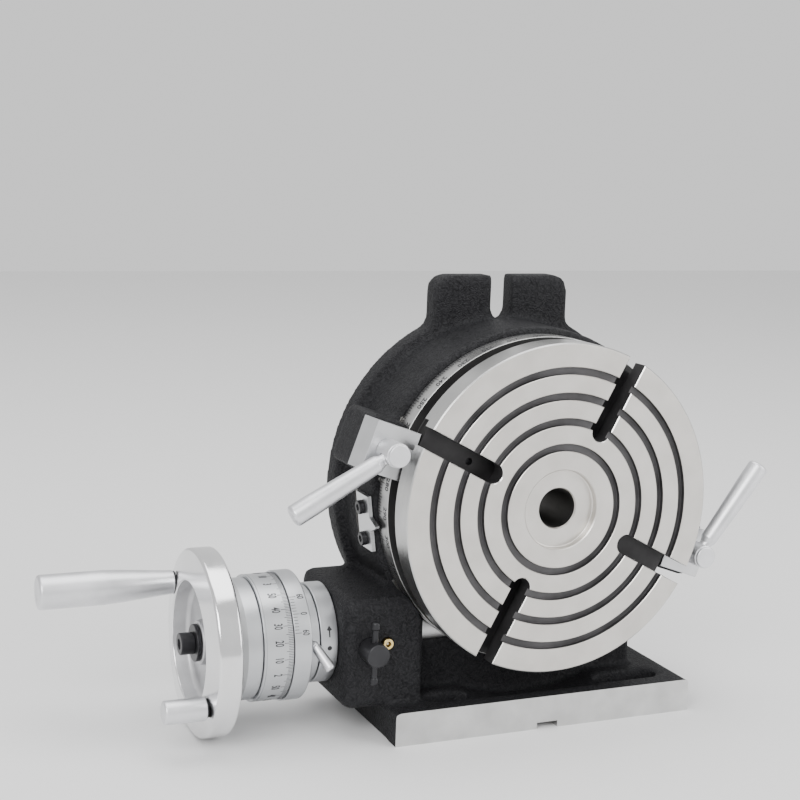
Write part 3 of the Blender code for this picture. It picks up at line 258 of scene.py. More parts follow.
finish = {
    "tableFace": turnedMetal("groundTableSteel", tableFrame, (0.70, 0.675, 0.64),
                             (0.56, 0.54, 0.51), 0.34, 5200.0, 0.10),
    "groove": satinMetal("darkGrooveSteel", (0.115, 0.112, 0.115), (0.06, 0.058, 0.06), 0.42, 2600.0, 0.2, 0.7),
    "groundFoot": satinMetal("groundFootIron", (0.66, 0.66, 0.655), (0.52, 0.52, 0.515), 0.36, 3200.0, 0.12),
    "paint": wrinklePaint(),
    "dial": turnedMetal("satinDialMetal", wormFrame, (0.60, 0.61, 0.625), (0.50, 0.51, 0.525), 0.36, 5000.0, 0.06),
    "satin": satinMetal("satinPlate", (0.66, 0.665, 0.675), (0.58, 0.585, 0.595), 0.34, 2600.0, 0.08),
    "handle": satinMetal("satinHandle", (0.80, 0.80, 0.82), (0.68, 0.685, 0.70), 0.40, 1600.0, 0.10),
    "polished": turnedMetal("polishedRim", wormFrame, (0.86, 0.86, 0.865), (0.74, 0.74, 0.745),
                            0.15, 3800.0, 0.16, 0.45),
    "castInside": satinMetal("castAluminium", (0.60, 0.60, 0.61), (0.46, 0.46, 0.47), 0.46, 900.0, 0.5),
    "black": satinMetal("blackOxide", (0.030, 0.030, 0.033), (0.016, 0.016, 0.018), 0.36, 2500.0, 0.12, 0.5),
    "brass": satinMetal("turnedBrass", (0.80, 0.62, 0.27), (0.62, 0.45, 0.18), 0.26, 2500.0, 0.1),
    "bronze": turnedMetal("gearBronze", tableFrame, (0.62, 0.42, 0.20), (0.46, 0.30, 0.14), 0.32, 3500.0, 0.1),
    "steel": satinMetal("machinedSteel", (0.58, 0.58, 0.585), (0.45, 0.45, 0.455), 0.30, 2600.0, 0.1),
    "rim": turnedMetal("turnedRimSteel", tableFrame, (0.62, 0.62, 0.61), (0.48, 0.48, 0.475), 0.30, 6500.0, 0.14),
    # the deep taper bore is coloured darker than the face as painted shade
    "boreSteel": turnedMetal("taperBorePaintedShade", tableFrame, (0.34, 0.335, 0.33), (0.22, 0.215, 0.21), 0.34, 5200.0),
    "slotWall": satinMetal("slotWallIron", (0.060, 0.058, 0.060), (0.030, 0.029, 0.030), 0.45, 2600.0, 0.25, 0.5),
    "bright": satinMetal("brokenEdgeSteel", (0.80, 0.79, 0.77), (0.70, 0.69, 0.67), 0.24, 2600.0, 0.08),
    "satinDark": turnedMetal("greyCollar", wormFrame, (0.42, 0.425, 0.43), (0.33, 0.335, 0.34), 0.46, 4200.0, 0.1),
    "rawIron": satinMetal("machinedIron", (0.30, 0.295, 0.29), (0.20, 0.196, 0.19), 0.42, 2000.0, 0.15),
    "grooveBlack": satinMetal("nearBlackGroove", (0.016, 0.015, 0.015), (0.008, 0.008, 0.008), 0.55, 2200.0, 0.2, 0.0),
    "ink": plainInk(),
}
report("materials")


def softCorners(corners, closed, steps):
    # rounds each corner (radius, along, round) that asks for it
    points = []
    count = len(corners)
    for index, corner in enumerate(corners):
        here = Vector(corner[:2])
        rounding = corner[2] if len(corner) > 2 else 0.0
        if rounding <= 0 or (not closed and index in (0, count - 1)):
            points.append(here)
            continue
        toBefore = Vector(corners[index - 1][:2]) - here
        toAfter = Vector(corners[(index + 1) % count][:2]) - here
        half = toBefore.angle(toAfter) / 2
        reach = min(rounding / math.tan(half), toBefore.length * 0.49, toAfter.length * 0.49)
        actual = reach * math.tan(half)
        toBefore.normalize()
        toAfter.normalize()
        centre = here + (toBefore + toAfter).normalized() * (actual / math.sin(half))
        first = here + toBefore * reach - centre
        sweep = first.angle_signed(here + toAfter * reach - centre)
        for step in range(steps + 1):
            turn = Matrix.Rotation(-sweep * step / steps, 2)
            points.append(centre + turn @ first)
    return points


def lathe(corners, matrix, materials, sides=160, steps=3, rule=None):
    # a turned mesh; rule(radius, along) gives the number of the material
    closed = corners[0][0] > 0 or corners[-1][0] > 0
    profile = softCorners(corners, closed, steps)
    bm = bmesh.new()
    rings = []
    for point in profile:
        if point.x < 1e-7:
            rings.append([bm.verts.new((0, 0, point.y))])
            continue
        rings.append([bm.verts.new((point.x * math.cos(2 * math.pi * side / sides),
                                    point.x * math.sin(2 * math.pi * side / sides), point.y))
                      for side in range(sides)])
    pairs = list(zip(rings, rings[1:])) + ([(rings[-1], rings[0])] if closed else [])
    for first, second in pairs:
        for side in range(sides):
            after = side + 1
            loop = [first[side % len(first)], first[after % len(first)],
                    second[after % len(second)], second[side % len(second)]]
            face = bm.faces.new(list(dict.fromkeys(loop)))
            if rule:
                middle = face.calc_center_median()
                face.material_index = rule(math.hypot(middle.x, middle.y), middle.z)
    bmesh.ops.recalc_face_normals(bm, faces=bm.faces)
    return meshFrom(bm, matrix, materials)


def meshFrom(bm, matrix, materials):
    mesh = bpy.data.meshes.new("work")
    bm.to_mesh(mesh)
    bm.free()
    if isinstance(materials, str):      # names of finishes, in the order of the faces' numbers
        materials = [finish[name] for name in materials.split()]
    for material in materials:
        mesh.materials.append(material)
    if matrix is not None:
        mesh.transform(matrix)
    return mesh


def rod(radius, start, end, matrix, materials, sides=64):
    return lathe([(0, start), (radius, start), (radius, end), (0, end)], matrix, materials, sides)


def prism(outline, low, high, matrix, materials, lowOutline=None):
    # a flat outline in X and Y carried from low to high along Z
    bm = bmesh.new()
    bottom = [bm.verts.new((x, y, low)) for x, y in lowOutline or outline]
    top = [bm.verts.new((x, y, high)) for x, y in outline]
    bm.faces.new(bottom)
    bm.faces.new(top)
    for index in range(len(outline)):
        after = (index + 1) % len(outline)
        bm.faces.new((bottom[index], bottom[after], top[after], top[index]))
    bmesh.ops.recalc_face_normals(bm, faces=bm.faces)
    return meshFrom(bm, matrix, materials)


def block(low, high, materials, matrix=None):
    outline = [(low[0], low[1]), (high[0], low[1]), (high[0], high[1]), (low[0], high[1])]
    return prism(outline, low[2], high[2], matrix, materials)


def stadium(width, length, steps=24):
    # a slot with its round end about the origin and its open end at length
    half = width / 2
    points = []
    for step in range(steps + 1):
        turn = math.radians(90 + 180 * step / steps)
        points.append((half * math.cos(turn), half * math.sin(turn)))
    return points + [(length, -half), (length, half)]


def newObject(name, data):
    made = bpy.data.objects.new(name, data)
    scene.collection.objects.link(made)
    return made


def settle(obj):
    # the plain mesh of an object with its modifiers run
    depsgraph = bpy.context.evaluated_depsgraph_get()
    return bpy.data.meshes.new_from_object(obj.evaluated_get(depsgraph), preserve_all_data_layers=True,
                                           depsgraph=depsgraph)


def shape(mesh, modifiers):
    # runs modifiers, given as (kind, settings), on a mesh and gives back the plain result
    work = newObject("work", mesh)
    for kind, settings in modifiers:
        modifier = work.modifiers.new(kind, kind)
        for key, value in settings.items():
            setattr(modifier, key, value)
    result = settle(work)
    bpy.data.objects.remove(work)
    return result


def carve(mesh, tools, operation='DIFFERENCE'):
    helpers = [newObject("tool", tool) for tool in tools]
    result = shape(mesh, [('BOOLEAN', {"operation": operation, "object": helper, "solver": 'EXACT',
                                       "material_mode": 'TRANSFER'}) for helper in helpers])
    for helper in helpers:
        bpy.data.objects.remove(helper)
    return result


def smoothMesh(mesh, sharpAngle=32.0):
    mesh.shade_smooth()
    mesh.set_sharp_from_angle(angle=math.radians(sharpAngle))
    return shape(mesh, [('WEIGHTED_NORMAL', {"keep_sharp": True, "weight": 80})])


def joined(meshes):
    bm = bmesh.new()
    materials = []
    for mesh in meshes:
        before = len(bm.faces)
        bm.from_mesh(mesh)
        bm.faces.ensure_lookup_table()
        remap = []
        for material in mesh.materials:
            if material not in materials:
                materials.append(material)
            remap.append(materials.index(material))
        for face in bm.faces[before:]:
            face.material_index = remap[face.material_index] if remap else 0
    return meshFrom(bm, None, materials)


def addPiece(name, mesh, body, nodes=(), sharpAngle=32.0):
    mesh = smoothMesh(mesh, sharpAngle)
    mesh.name = name
    piece = newObject(name, mesh)
    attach(piece, body)
    if nodes:
        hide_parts(*nodes)
    return piece


def cadCopy(node, materials):
    # a CAD solid as a merged mesh of one finish
    bm = bmesh.new()
    bm.from_mesh(frame["nodes"][node].data)
    bmesh.ops.remove_doubles(bm, verts=bm.verts, dist=1e-6)
    bmesh.ops.dissolve_limit(bm, angle_limit=math.radians(1.0), verts=bm.verts, edges=bm.edges)
    for face in bm.faces:
        face.material_index = 0
    return meshFrom(bm, None, materials)


def softCopy(node, width, materials):
    # a CAD solid with its edges broken
    return shape(cadCopy(node, materials), [('BEVEL', {
        "width": width, "segments": 2, "limit_method": 'ANGLE', "angle_limit": math.radians(30),
        "harden_normals": False})])


def middleOf(node):
    low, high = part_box(node)
    return (low + high) / 2


def wormSpan(node):
    # where a piece starts and ends along the worm
    low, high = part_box(node)
    return tableSpot.x - high.x, tableSpot.x - low.x


def ringFrame(centre, first, second, along):
    return Matrix.Translation(centre) @ Matrix((first, second, along)).transposed().to_4x4()


scaleFrame = ringFrame(tableSpot, Vector((1, 0, 0)), Vector((0, 0, 1)), Vector((0, -1, 0)))
shaftFrame = ringFrame(wormSpot, Vector((0, -1, 0)), Vector((0, 0, 1)), Vector((-1, 0, 0)))


def newRing(name, kinds):
    # a tree that stands copies round the local Z axis; kinds gives the labels of its inputs by their kind
    tree = bpy.data.node_groups.new(name, 'GeometryNodeTree')
    sockets = {label: tree.interface.new_socket(label, in_out='INPUT', socket_type='NodeSocket' + kind).identifier
               for kind, labels in kinds.items() for label in labels}
    tree.interface.new_socket("Geometry", in_out='OUTPUT', socket_type='NodeSocketGeometry')
    return tree, sockets, tree.nodes.new('NodeGroupInput').outputs


def triple(tree, x=0.0, y=0.0, z=0.0):
    return wire(tree, 'ShaderNodeCombineXYZ', {0: x, 1: y, 2: z}).outputs[0]


def closeRing(tree, given, number, step, height, copy, size):
    # copy number stands at the first angle and that many steps more
    angle = maths(tree, 'ADD', given["First Angle"], maths(tree, 'MULTIPLY', number, step))
    around = [maths(tree, 'MULTIPLY', given["Radius"], maths(tree, way, angle)) for way in ('COSINE', 'SINE')]
    line = wire(tree, 'GeometryNodeMeshLine', {"Count": given["Count"]})
    points = wire(tree, 'GeometryNodeSetPosition', {"Geometry": line.outputs[0],
                                                    "Position": triple(tree, *around, height)})
    placed = wire(tree, 'GeometryNodeInstanceOnPoints', {"Points": points.outputs[0], "Instance": copy,
                                                         "Rotation": triple(tree, z=angle), "Scale": size})
    real = wire(tree, 'GeometryNodeRealizeInstances', {0: placed.outputs[0]})
    made = wire(tree, 'GeometryNodeSetMaterial', {"Geometry": real.outputs[0], "Material": given["Finish"]})
    wire(tree, 'NodeGroupOutput', {0: made.outputs[0]})


def tickTree():
    # ticks standing on the plane Z = 0
    tree, sockets, given = newRing("tickRing", {
        "Int": ("Count", "Middle Every", "Long Every", "Count From"),
        "Float": ("Radius", "First Angle", "Step", "Short", "Middle", "Long", "Width", "Thickness"),
        "Material": ("Finish",)})
    number = maths(tree, 'ADD', wire(tree, 'GeometryNodeInputIndex').outputs[0], given["Count From"])
    length = given["Short"]
    for label in ("Middle", "Long"):
        due = maths(tree, 'COMPARE', maths(tree, 'MODULO', number, given[label + " Every"]), 0.0)
        length = wire(tree, 'GeometryNodeSwitch', {0: due, 1: length, 2: given[label]}, input_type='FLOAT').outputs[0]
    cube = wire(tree, 'GeometryNodeMeshCube').outputs[0]
    closeRing(tree, given, number, given["Step"], maths(tree, 'MULTIPLY', length, 0.5), cube,
              triple(tree, given["Thickness"], given["Width"], length))
    return tree, sockets


tickRing, tickSockets = tickTree()


def growRing(tree, sockets, values, matrix):
    work = newObject("work", bpy.data.meshes.new("work"))
    modifier = work.modifiers.new("Ring", 'NODES')
    modifier.node_group = tree
    for label, value in values.items():
        modifier[sockets[label]] = value
    mesh = settle(work)
    bpy.data.objects.remove(work)
    mesh.transform(matrix)
    return mesh


markThickness = 0.00008


def ticks(matrix, values):
    return growRing(tickRing, tickSockets, {"Thickness": markThickness, "Finish": finish["ink"], **values}, matrix)


def wrapped(words, matrix, radius, size, turn, stretch):
    # words (text, degrees, along) laid on a cylinder; turn 1 reads with the angle, -1 against it
    meshes = []
    for text, degrees, along in words:
        curve = bpy.data.curves.new("letters", 'FONT')
        curve.body = text
        curve.size = size
        curve.align_x = curve.align_y = 'CENTER'
        curve.extrude = markThickness
        curve.offset = size * 0.016
        curve.resolution_u = 3
        work = newObject("work", curve)
        bpy.context.view_layer.update()
        mesh = settle(work)
        bpy.data.objects.remove(work)
        for vertex in mesh.vertices:
            x, y, z = vertex.co
            around = math.radians(degrees) + turn * x * stretch / radius
            out = radius + z
            vertex.co = (out * math.cos(around), out * math.sin(around), along + turn * y)
        mesh.materials.clear()
        mesh.materials.append(finish["ink"])
        meshes.append(mesh)
    whole = joined(meshes)
    whole.transform(matrix)
    return whole


report("tools")


table = {
    "radius": 0.100, "rim": 0.0175, "grooveBack": 0.0286, "back": 0.0430, "clampRadius": 0.094,
    "edge": 0.0008, "rings": (0.0377, 0.0530, 0.0682, 0.0834), "ringWidth": 0.0044, "ringDepth": 0.0035,
    "ringEdge": 0.00035, "recess": 0.024, "recessDepth": 0.005, "bore": 0.0119, "taper": 0.025,
    "shoulder": 0.060, "seat": 0.0517, "hub": 0.0377, "wheelBack": 0.0703, "spindle": 0.030, "end": 0.1003,
    "slotAngles": (62.0, 152.0, 242.0, 332.0), "slotWidth": 0.012, "slotInner": 0.046, "slotDepth": 0.0195,
    "footWidth": 0.020, "footHeight": 0.008, "slotEdge": 0.00045, "holeRadius": 0.0022, "holeSpot": 0.060,
    "zero": 252.0, "markFoot": 0.0006, "numberShift": 0.0098,
}


def tableMaterial(radius, depth):
    t = table
    onGroove = any(abs(radius - ring) < t["ringWidth"] / 2 + 0.00003 for ring in t["rings"])
    if onGroove and t["ringEdge"] * 1.5 < depth < t["ringDepth"] + 0.0001:
        return 1
    # the clamp groove's floor and both its walls take the near-black finish
    if t["rim"] - 0.0002 < depth < t["grooveBack"] + 0.0002 and radius < t["radius"] - 0.0007:
        return 2
    # the taper bore's wall takes the darker painted-shade finish
    if radius < t["bore"] + 0.0006 and depth > t["recessDepth"] + 0.001:
        return 4
    if radius > t["radius"] - 0.0012 and depth > 0.0001:
        return 3
    return 0


def makeTable():
    t = table
    farBore = t["bore"] - t["taper"] * (t["end"] - t["recessDepth"])
    corners = [(farBore, t["end"], 0), (t["spindle"], t["end"], 0.0004), (t["spindle"], t["wheelBack"], 0),
               (t["hub"], t["wheelBack"], 0), (t["hub"], t["seat"], 0), (t["shoulder"], t["seat"], 0),
               (t["shoulder"], t["back"], 0), (t["radius"], t["back"], 0.0005),
               (t["radius"], t["grooveBack"], 0.0004), (t["clampRadius"], t["grooveBack"], 0.0006),
               (t["clampRadius"], t["rim"], 0.0006), (t["radius"], t["rim"], 0.0005),
               (t["radius"], t["edge"], 0.0003), (t["radius"] - t["edge"], 0, 0.0003)]
    half, edge = t["ringWidth"] / 2, t["ringEdge"]
    for ring in reversed(t["rings"]):
        corners += [(ring + half + edge, 0), (ring + half, edge), (ring + half, t["ringDepth"], 0.0004),
                    (ring - half, t["ringDepth"], 0.0004), (ring - half, edge), (ring - half - edge, 0)]
    corners += [(t["recess"] + 0.0006, 0), (t["recess"], 0.0006), (t["recess"], t["recessDepth"], 0.0008),
                (t["bore"] + 0.0007, t["recessDepth"]), (t["bore"], t["recessDepth"] + 0.0010)]
    mesh = lathe(corners, tableFrame, "tableFace groove grooveBlack rim boreSteel", 192, 3, tableMaterial)
    tools = []
    reach = t["radius"] * 1.2 - t["slotInner"]
    middle = t["slotInner"] + t["slotWidth"] / 2
    spread = 0.002
    for degrees in t["slotAngles"]:
        spot = radialFrame(degrees, middle) @ Matrix.Rotation(math.radians(-90), 4, 'X')
        neck = stadium(t["slotWidth"], reach)
        mouth = stadium(t["slotWidth"] + 2 * (t["slotEdge"] + spread), reach)
        tools.append(prism(neck, -spread, t["slotDepth"], spot, "slotWall"))
        tools.append(prism(neck, -spread, t["slotEdge"], spot, "bright", mouth))
        tools.append(prism(stadium(t["footWidth"], reach), t["slotDepth"] - t["footHeight"],
                           t["slotDepth"] + 0.0001, spot, "slotWall"))
    hole = radialFrame(t["slotAngles"][1], t["holeSpot"], t["slotDepth"] - 0.001)
    tools.append(rod(t["holeRadius"], 0, 0.004, hole @ intoMachine, "black", 32))
    return carve(mesh, tools)


addPiece("rotaryTable", makeTable(), "table", ["rotary_table"])

degreeScale = {
    "Count": 360, "Middle Every": 5, "Long Every": 10, "Count From": 0, "Radius": table["radius"],
    "First Angle": math.radians(table["zero"]), "Step": math.radians(1.0), "Short": 0.0034, "Middle": 0.0048,
    "Long": 0.0062, "Width": 0.00045,
}
scaleStart = -table["back"] + table["markFoot"]
scaleTicks = ticks(scaleFrame @ Matrix.Translation((0, 0, scaleStart)), degreeScale)
scaleNumbers = wrapped([(str(value), value + table["zero"], scaleStart + table["numberShift"])
                        for value in range(0, 360, 10)], scaleFrame, table["radius"], 0.0062, 1, 0.85)
addPiece("degreeScale", joined([scaleTicks, scaleNumbers]), "table")
report("table")


def wormRing(name, node, body, bore, outside, materials="dial", rule=None):
    start, end = wormSpan(node)
    mesh = lathe([(bore, end), *outside, (bore, start)], wormFrame, materials, 160, 3, rule)
    addPiece(name, mesh, body, [node])


markRing = {"radius": 0.030, "bore": 0.0208, "edge": 0.0005, "ink": 0.00008, "sunk": 0.0001}
markStart, markEnd = wormSpan("mark_ring")
markMesh = lathe([(0, markEnd), (markRing["radius"], markEnd, markRing["edge"]),
                  (markRing["radius"], markStart, markRing["edge"]), (0, markStart)], wormFrame, "dial")
sleeveSpot = Vector((tableSpot.x, jointSpot["eccentric_swing"].y, jointSpot["eccentric_swing"].z))
sleeveFrame = Matrix.Translation(sleeveSpot) @ towardWheel
markBore = rod(markRing["bore"], markEnd + 0.01, markStart - 0.01, sleeveFrame, "steel", 96)
addPiece("markRing", carve(markMesh, [markBore]), "base", ["mark_ring"])


def inkMark(widths, degrees, along, spread):
    # a flat mark laid round the mark ring; widths are its half widths at even steps of its spread in degrees
    bm = bmesh.new()
    rings = []
    inner, outer = markRing["radius"] - markRing["sunk"], markRing["radius"] + markRing["ink"]
    for index, half in enumerate(widths):
        angle = math.radians(degrees + spread * (index / (len(widths) - 1) - 0.5))
        rings.append([bm.verts.new((radius * math.cos(angle), radius * math.sin(angle), along + side * half))
                      for radius, side in ((inner, -1), (inner, 1), (outer, 1), (outer, -1))])
    for first, second in zip(rings, rings[1:]):
        for corner in range(4):
            after = (corner + 1) % 4
            bm.faces.new((first[corner], first[after], second[after], second[corner]))
    bm.faces.new(rings[0])
    bm.faces.new(rings[-1])
    bmesh.ops.recalc_face_normals(bm, faces=bm.faces)
    return meshFrom(bm, shaftFrame, "ink")


arrow = [0.0004] * 7 + [0.0016, 0.0012, 0.0008, 0.0004, 0.00004]
spotMark = [0.0014 * math.sqrt(max(0.001, 1 - (step / 6 - 1) ** 2)) for step in range(13)]
markMiddle = (markStart + markEnd) / 2
addPiece("turnMarks", joined([inkMark(arrow, 17.0, markMiddle, 13.0), inkMark(spotMark, -2.0, markMiddle, 5.4)]),
         "base")

vernier = {"outer": 0.0387, "bore": 0.0163, "zero": 35.0}
vernierStart, vernierEnd = wormSpan("vernier_ring")
wormRing("vernierRing", "vernier_ring", "sleeve", vernier["bore"],
         [(vernier["outer"], vernierEnd, 0.0003), (vernier["outer"], vernierStart, 0.0008)])

dial = {"outer": 0.0376, "bore": 0.0088, "zero": 160.8, "line": 0.0012, "lineDepth": 0.0003}
dialStart, dialEnd = wormSpan("dial_ring")
lineSpot, lineFloor = dialEnd - dial["line"], dial["outer"] - dial["lineDepth"]
wormRing("dialRing", "dial_ring", "dial", dial["bore"], [
    (dial["outer"], dialEnd, 0.0003), (dial["outer"], lineSpot + 0.00035), (lineFloor, lineSpot + 0.0002),
    (lineFloor, lineSpot - 0.0002), (dial["outer"], lineSpot - 0.00035), (dial["outer"], dialStart, 0.0003)])

collar = {"outer": 0.0360, "bore": 0.0088, "narrow": 0.0019, "taper": 0.0085}
collarStart, collarEnd = wormSpan("dial_collar")
taperStart = collarEnd - collar["taper"]
wormRing("dialCollar", "dial_collar", "worm", collar["bore"], [
    (collar["outer"] - collar["narrow"], collarEnd, 0.0005), (collar["outer"], taperStart, 0.0004),
    (collar["outer"], collarStart, 0.0004)], "dial satinDark", lambda radius, along: int(along > taperStart))

dialMarks = {
    "Count": 240, "Middle Every": 5, "Long Every": 10, "Count From": 0, "Radius": dial["outer"],
    "First Angle": math.radians(dial["zero"]), "Step": math.radians(1.5), "Short": 0.0030, "Middle": 0.0043,
    "Long": 0.0056, "Width": 0.00030,
}
dialTicks = ticks(shaftFrame @ Matrix.Translation((0, 0, dialStart + 0.0002)), dialMarks)
dialLabels = []
for mark in range(24):
    minutes = mark * 10 % 60
    label = str(minutes) if minutes else str(mark // 6)
    dialLabels.append((label, mark * 15.0 + dial["zero"], dialStart + 0.0090))
dialNumbers = wrapped(dialLabels, shaftFrame, dial["outer"], 0.0072, -1, 0.50)
addPiece("dialMarks", joined([dialTicks, dialNumbers]), "dial")

vernierMarks = {
    "Count": 13, "Middle Every": 1, "Long Every": 6, "Count From": -6, "Radius": vernier["outer"],
    "First Angle": math.radians(vernier["zero"]), "Step": math.radians(2.75), "Short": 0.0026, "Middle": 0.0026,
    "Long": 0.0040, "Width": 0.00030,
}
turnOver = Matrix.Scale(-1, 4, Vector((0, 0, 1)))
vernierTicks = ticks(shaftFrame @ Matrix.Translation((0, 0, vernierEnd - 0.0003)) @ turnOver, vernierMarks)
vernierTicks.flip_normals()
vernierNumbers = wrapped([(text, vernier["zero"] + shift, vernierEnd - 0.0068)
                          for text, shift in (("60", 16.5), ("0", 0.0), ("60", -16.5))],
                         shaftFrame, vernier["outer"], 0.0057, -1, 0.58)
addPiece("vernierMarks", joined([vernierTicks, vernierNumbers]), "sleeve")
report("rings")


handwheel = {"radius": 0.0555, "slope": 0.0028, "inner": 0.0365, "hub": 0.0128, "setback": 0.0057,
             "dish": 0.0110, "web": 0.0020, "bore": 0.0073, "spot": (0.0075, 0.00725), "spotDepth": 0.0014,
             "pin": (0.0043, 0.0033)}


def makeHandwheel():
    h = handwheel
    back, front = wormSpan("handwheel")
    inner, outer, hub = h["inner"], h["radius"], h["hub"]
    top, dish, web = front - h["setback"], front - h["dish"], back + h["web"]
    corners = [(h["bore"], top), (hub, top, 0.0010), (hub + 0.001, dish, 0.0020), (inner - 0.0015, dish, 0.0035),
               (inner, front, 0.0009), (outer, front - h["slope"], 0.0020), (outer, back, 0.0020),
               (inner + 0.002, back, 0.0010), (inner - 0.001, web, 0.0012), (hub + 0.004, web, 0.0015),
               (hub + 0.002, back, 0.0005), (h["bore"], back)]

    def rule(radius, along):
        return 1 if radius < inner - 0.0002 and along > back + 0.004 else 0

    frames = (crankFrame, knobFrame)
    spots = [rod(radius, front + 0.01, front - h["spotDepth"], place, "polished")
             for place, radius in zip(frames, h["spot"])]
    holes = [rod(radius, front + 0.01, back - 0.01, place, "steel", 48) for place, radius in zip(frames, h["pin"])]
    return carve(lathe(corners, wormFrame, "polished castInside", 192, 6, rule), spots + holes)


addPiece("handwheel", makeHandwheel(), "worm", ["handwheel"])
report("handwheel")


grips = {"radius": 0.0103, "neck": 0.0071, "bore": 0.0044, "counter": 0.0063, "seat": 0.0105, "room": 0.0049,
         "knobRadius": 0.00685, "knobBore": 0.0034, "knobCounter": 0.0048, "knobSeat": 0.0070, "knobRoom": 0.0039}


def makeGrips():
    g = grips
    start, end = wormSpan("crank_handle")
    length, seat = end - start, end - g["seat"]
    corners = [(0, end - 0.0003), (g["radius"] * 0.45, end - 0.0003, 0.0004), (g["radius"] * 0.52, end, 0.0004),
               (g["radius"], end, 0.0019), (g["radius"], start + length * 0.52, 0.010),
               (g["radius"] - 0.0006, start + length * 0.40, 0.012), (g["neck"] + 0.0004, start + 0.006, 0.006),
               (g["neck"], start, 0.0008), (g["bore"], start), (g["bore"], seat), (g["counter"], seat),
               (g["counter"], seat + g["room"]), (0, seat + g["room"])]
    addPiece("crankHandle", lathe(corners, crankFrame, "handle", 96, 6), "handle", ["crank_handle"])
    start, end = wormSpan("small_knob")
    seat, counter = end - g["knobSeat"], g["knobCounter"]
    corners = [(0, end), (g["knobRadius"], end, 0.0014), (g["knobRadius"], start, 0.0008), (g["knobBore"], start),
               (g["knobBore"], seat), (counter, seat), (counter, seat + g["knobRoom"]), (0, seat + g["knobRoom"])]
    addPiece("smallKnob", lathe(corners, knobFrame, "handle", 80, 4), "knob", ["small_knob"])


makeGrips()

# shank, shoulder and head radius, and the height of the head
pins = {"crank": (crankFrame, 0.0040, 0.0067, 0.0060, 0.0040), "knob": (knobFrame, 0.0030, 0.00565, 0.0045, 0.0030)}


def makePins():
    rimFront = wormSpan("handwheel")[1] - handwheel["spotDepth"] + 0.0003
    shoulderTop = rimFront + 0.0006
    for kind, (place, shank, shoulder, head, headHeight) in pins.items():
        start, end = wormSpan(kind + "_pin")
        corners = [(0, end), (head, end, 0.0004), (head, end - headHeight, 0.0002), (shank, end - headHeight),
                   (shank, shoulderTop), (shoulder, shoulderTop, 0.0001), (shoulder, rimFront, 0.0001),
                   (shank, rimFront), (shank, start, 0.0004), (0, start)]
        mesh = lathe(corners, place, "black", 64, 3)
        width = head * 0.28
        slot = block((-head * 1.2, -width / 2, end - 0.0010), (head * 1.2, width / 2, end + 0.002), "black", place)
        addPiece(kind + "Pin", carve(mesh, [slot]), "worm", [kind + "_pin"])


makePins()
report("grips")


sleeve = {"flange": 0.029, "flangeWidth": 0.0077, "spigot": 0.016, "spigotLength": 0.005, "body": 0.0205,
          "bush": 0.0120, "pin": 0.0025, "pinAngle": 2.0, "gripLength": 0.0160, "grip": 0.0033,
          "lean": (0.42, -0.55, -0.72)}


def makeSleeve():
    s = sleeve
    low, high = wormSpan("eccentric_sleeve")
    flangeHigh = high - s["spigotLength"]
    flangeLow = flangeHigh - s["flangeWidth"]
    body = lathe([(0, flangeLow + 0.001), (s["body"], flangeLow + 0.001), (s["body"], low, 0.0006), (0, low)],
                 sleeveFrame, "steel", 96)
    flange = lathe([(0, high), (s["spigot"], high, 0.0004), (s["spigot"], flangeHigh),
                    (s["flange"], flangeHigh, 0.0008), (s["flange"], flangeLow, 0.0005), (0, flangeLow)],
                   wormFrame, "dial", 160)
    through = rod(s["bush"], high + 0.01, low - 0.01, wormFrame, "steel", 96)
    turn = math.radians(s["pinAngle"])
    direction = Vector((0, -math.cos(turn), math.sin(turn)))
    root = Vector((tableSpot.x - (flangeLow + flangeHigh) / 2, wormSpot.y, wormSpot.z))
    hole = rod(s["pin"] + 0.0003, 0, 0.02, axisFrame(root + direction * (s["flange"] - 0.009), direction), "black", 48)
    whole = carve(carve(body, [flange], 'UNION'), [through, hole])
    addPiece("eccentricSleeve", whole, "sleeve", ["eccentric_sleeve"])
    start = root + direction * (s["flange"] - 0.0085)
    middle = root + direction * (s["flange"] + 0.003)
    pinLength = (middle - start).length + 0.001
    pin = lathe([(0, 0), (s["pin"], 0, 0.0004), (s["pin"], pinLength, 0.0010), (0, pinLength)],
                axisFrame(start, direction), "handle", 48, 4)
    lean = Vector(s["lean"]).normalized()
    grip = lathe([(0, -0.0008), (s["pin"] + 0.0002, -0.0008, 0.0008), (s["grip"], s["gripLength"], 0.0020),
                  (0, s["gripLength"])], axisFrame(middle, lean), "handle", 48, 5)
    addPiece("sleeveLever", carve(pin, [grip], 'UNION'), "sleeve", ["sleeve_lever"])


makeSleeve()


clamp = {"angle": 160.5, "radius": 0.1115, "stud": 0.004, "hub": 0.00715, "hubLength": 0.0186, "jawFront": 0.0195,
         "leverLength": 0.069, "root": 0.0036, "neck": 0.00505, "end": 0.0064}


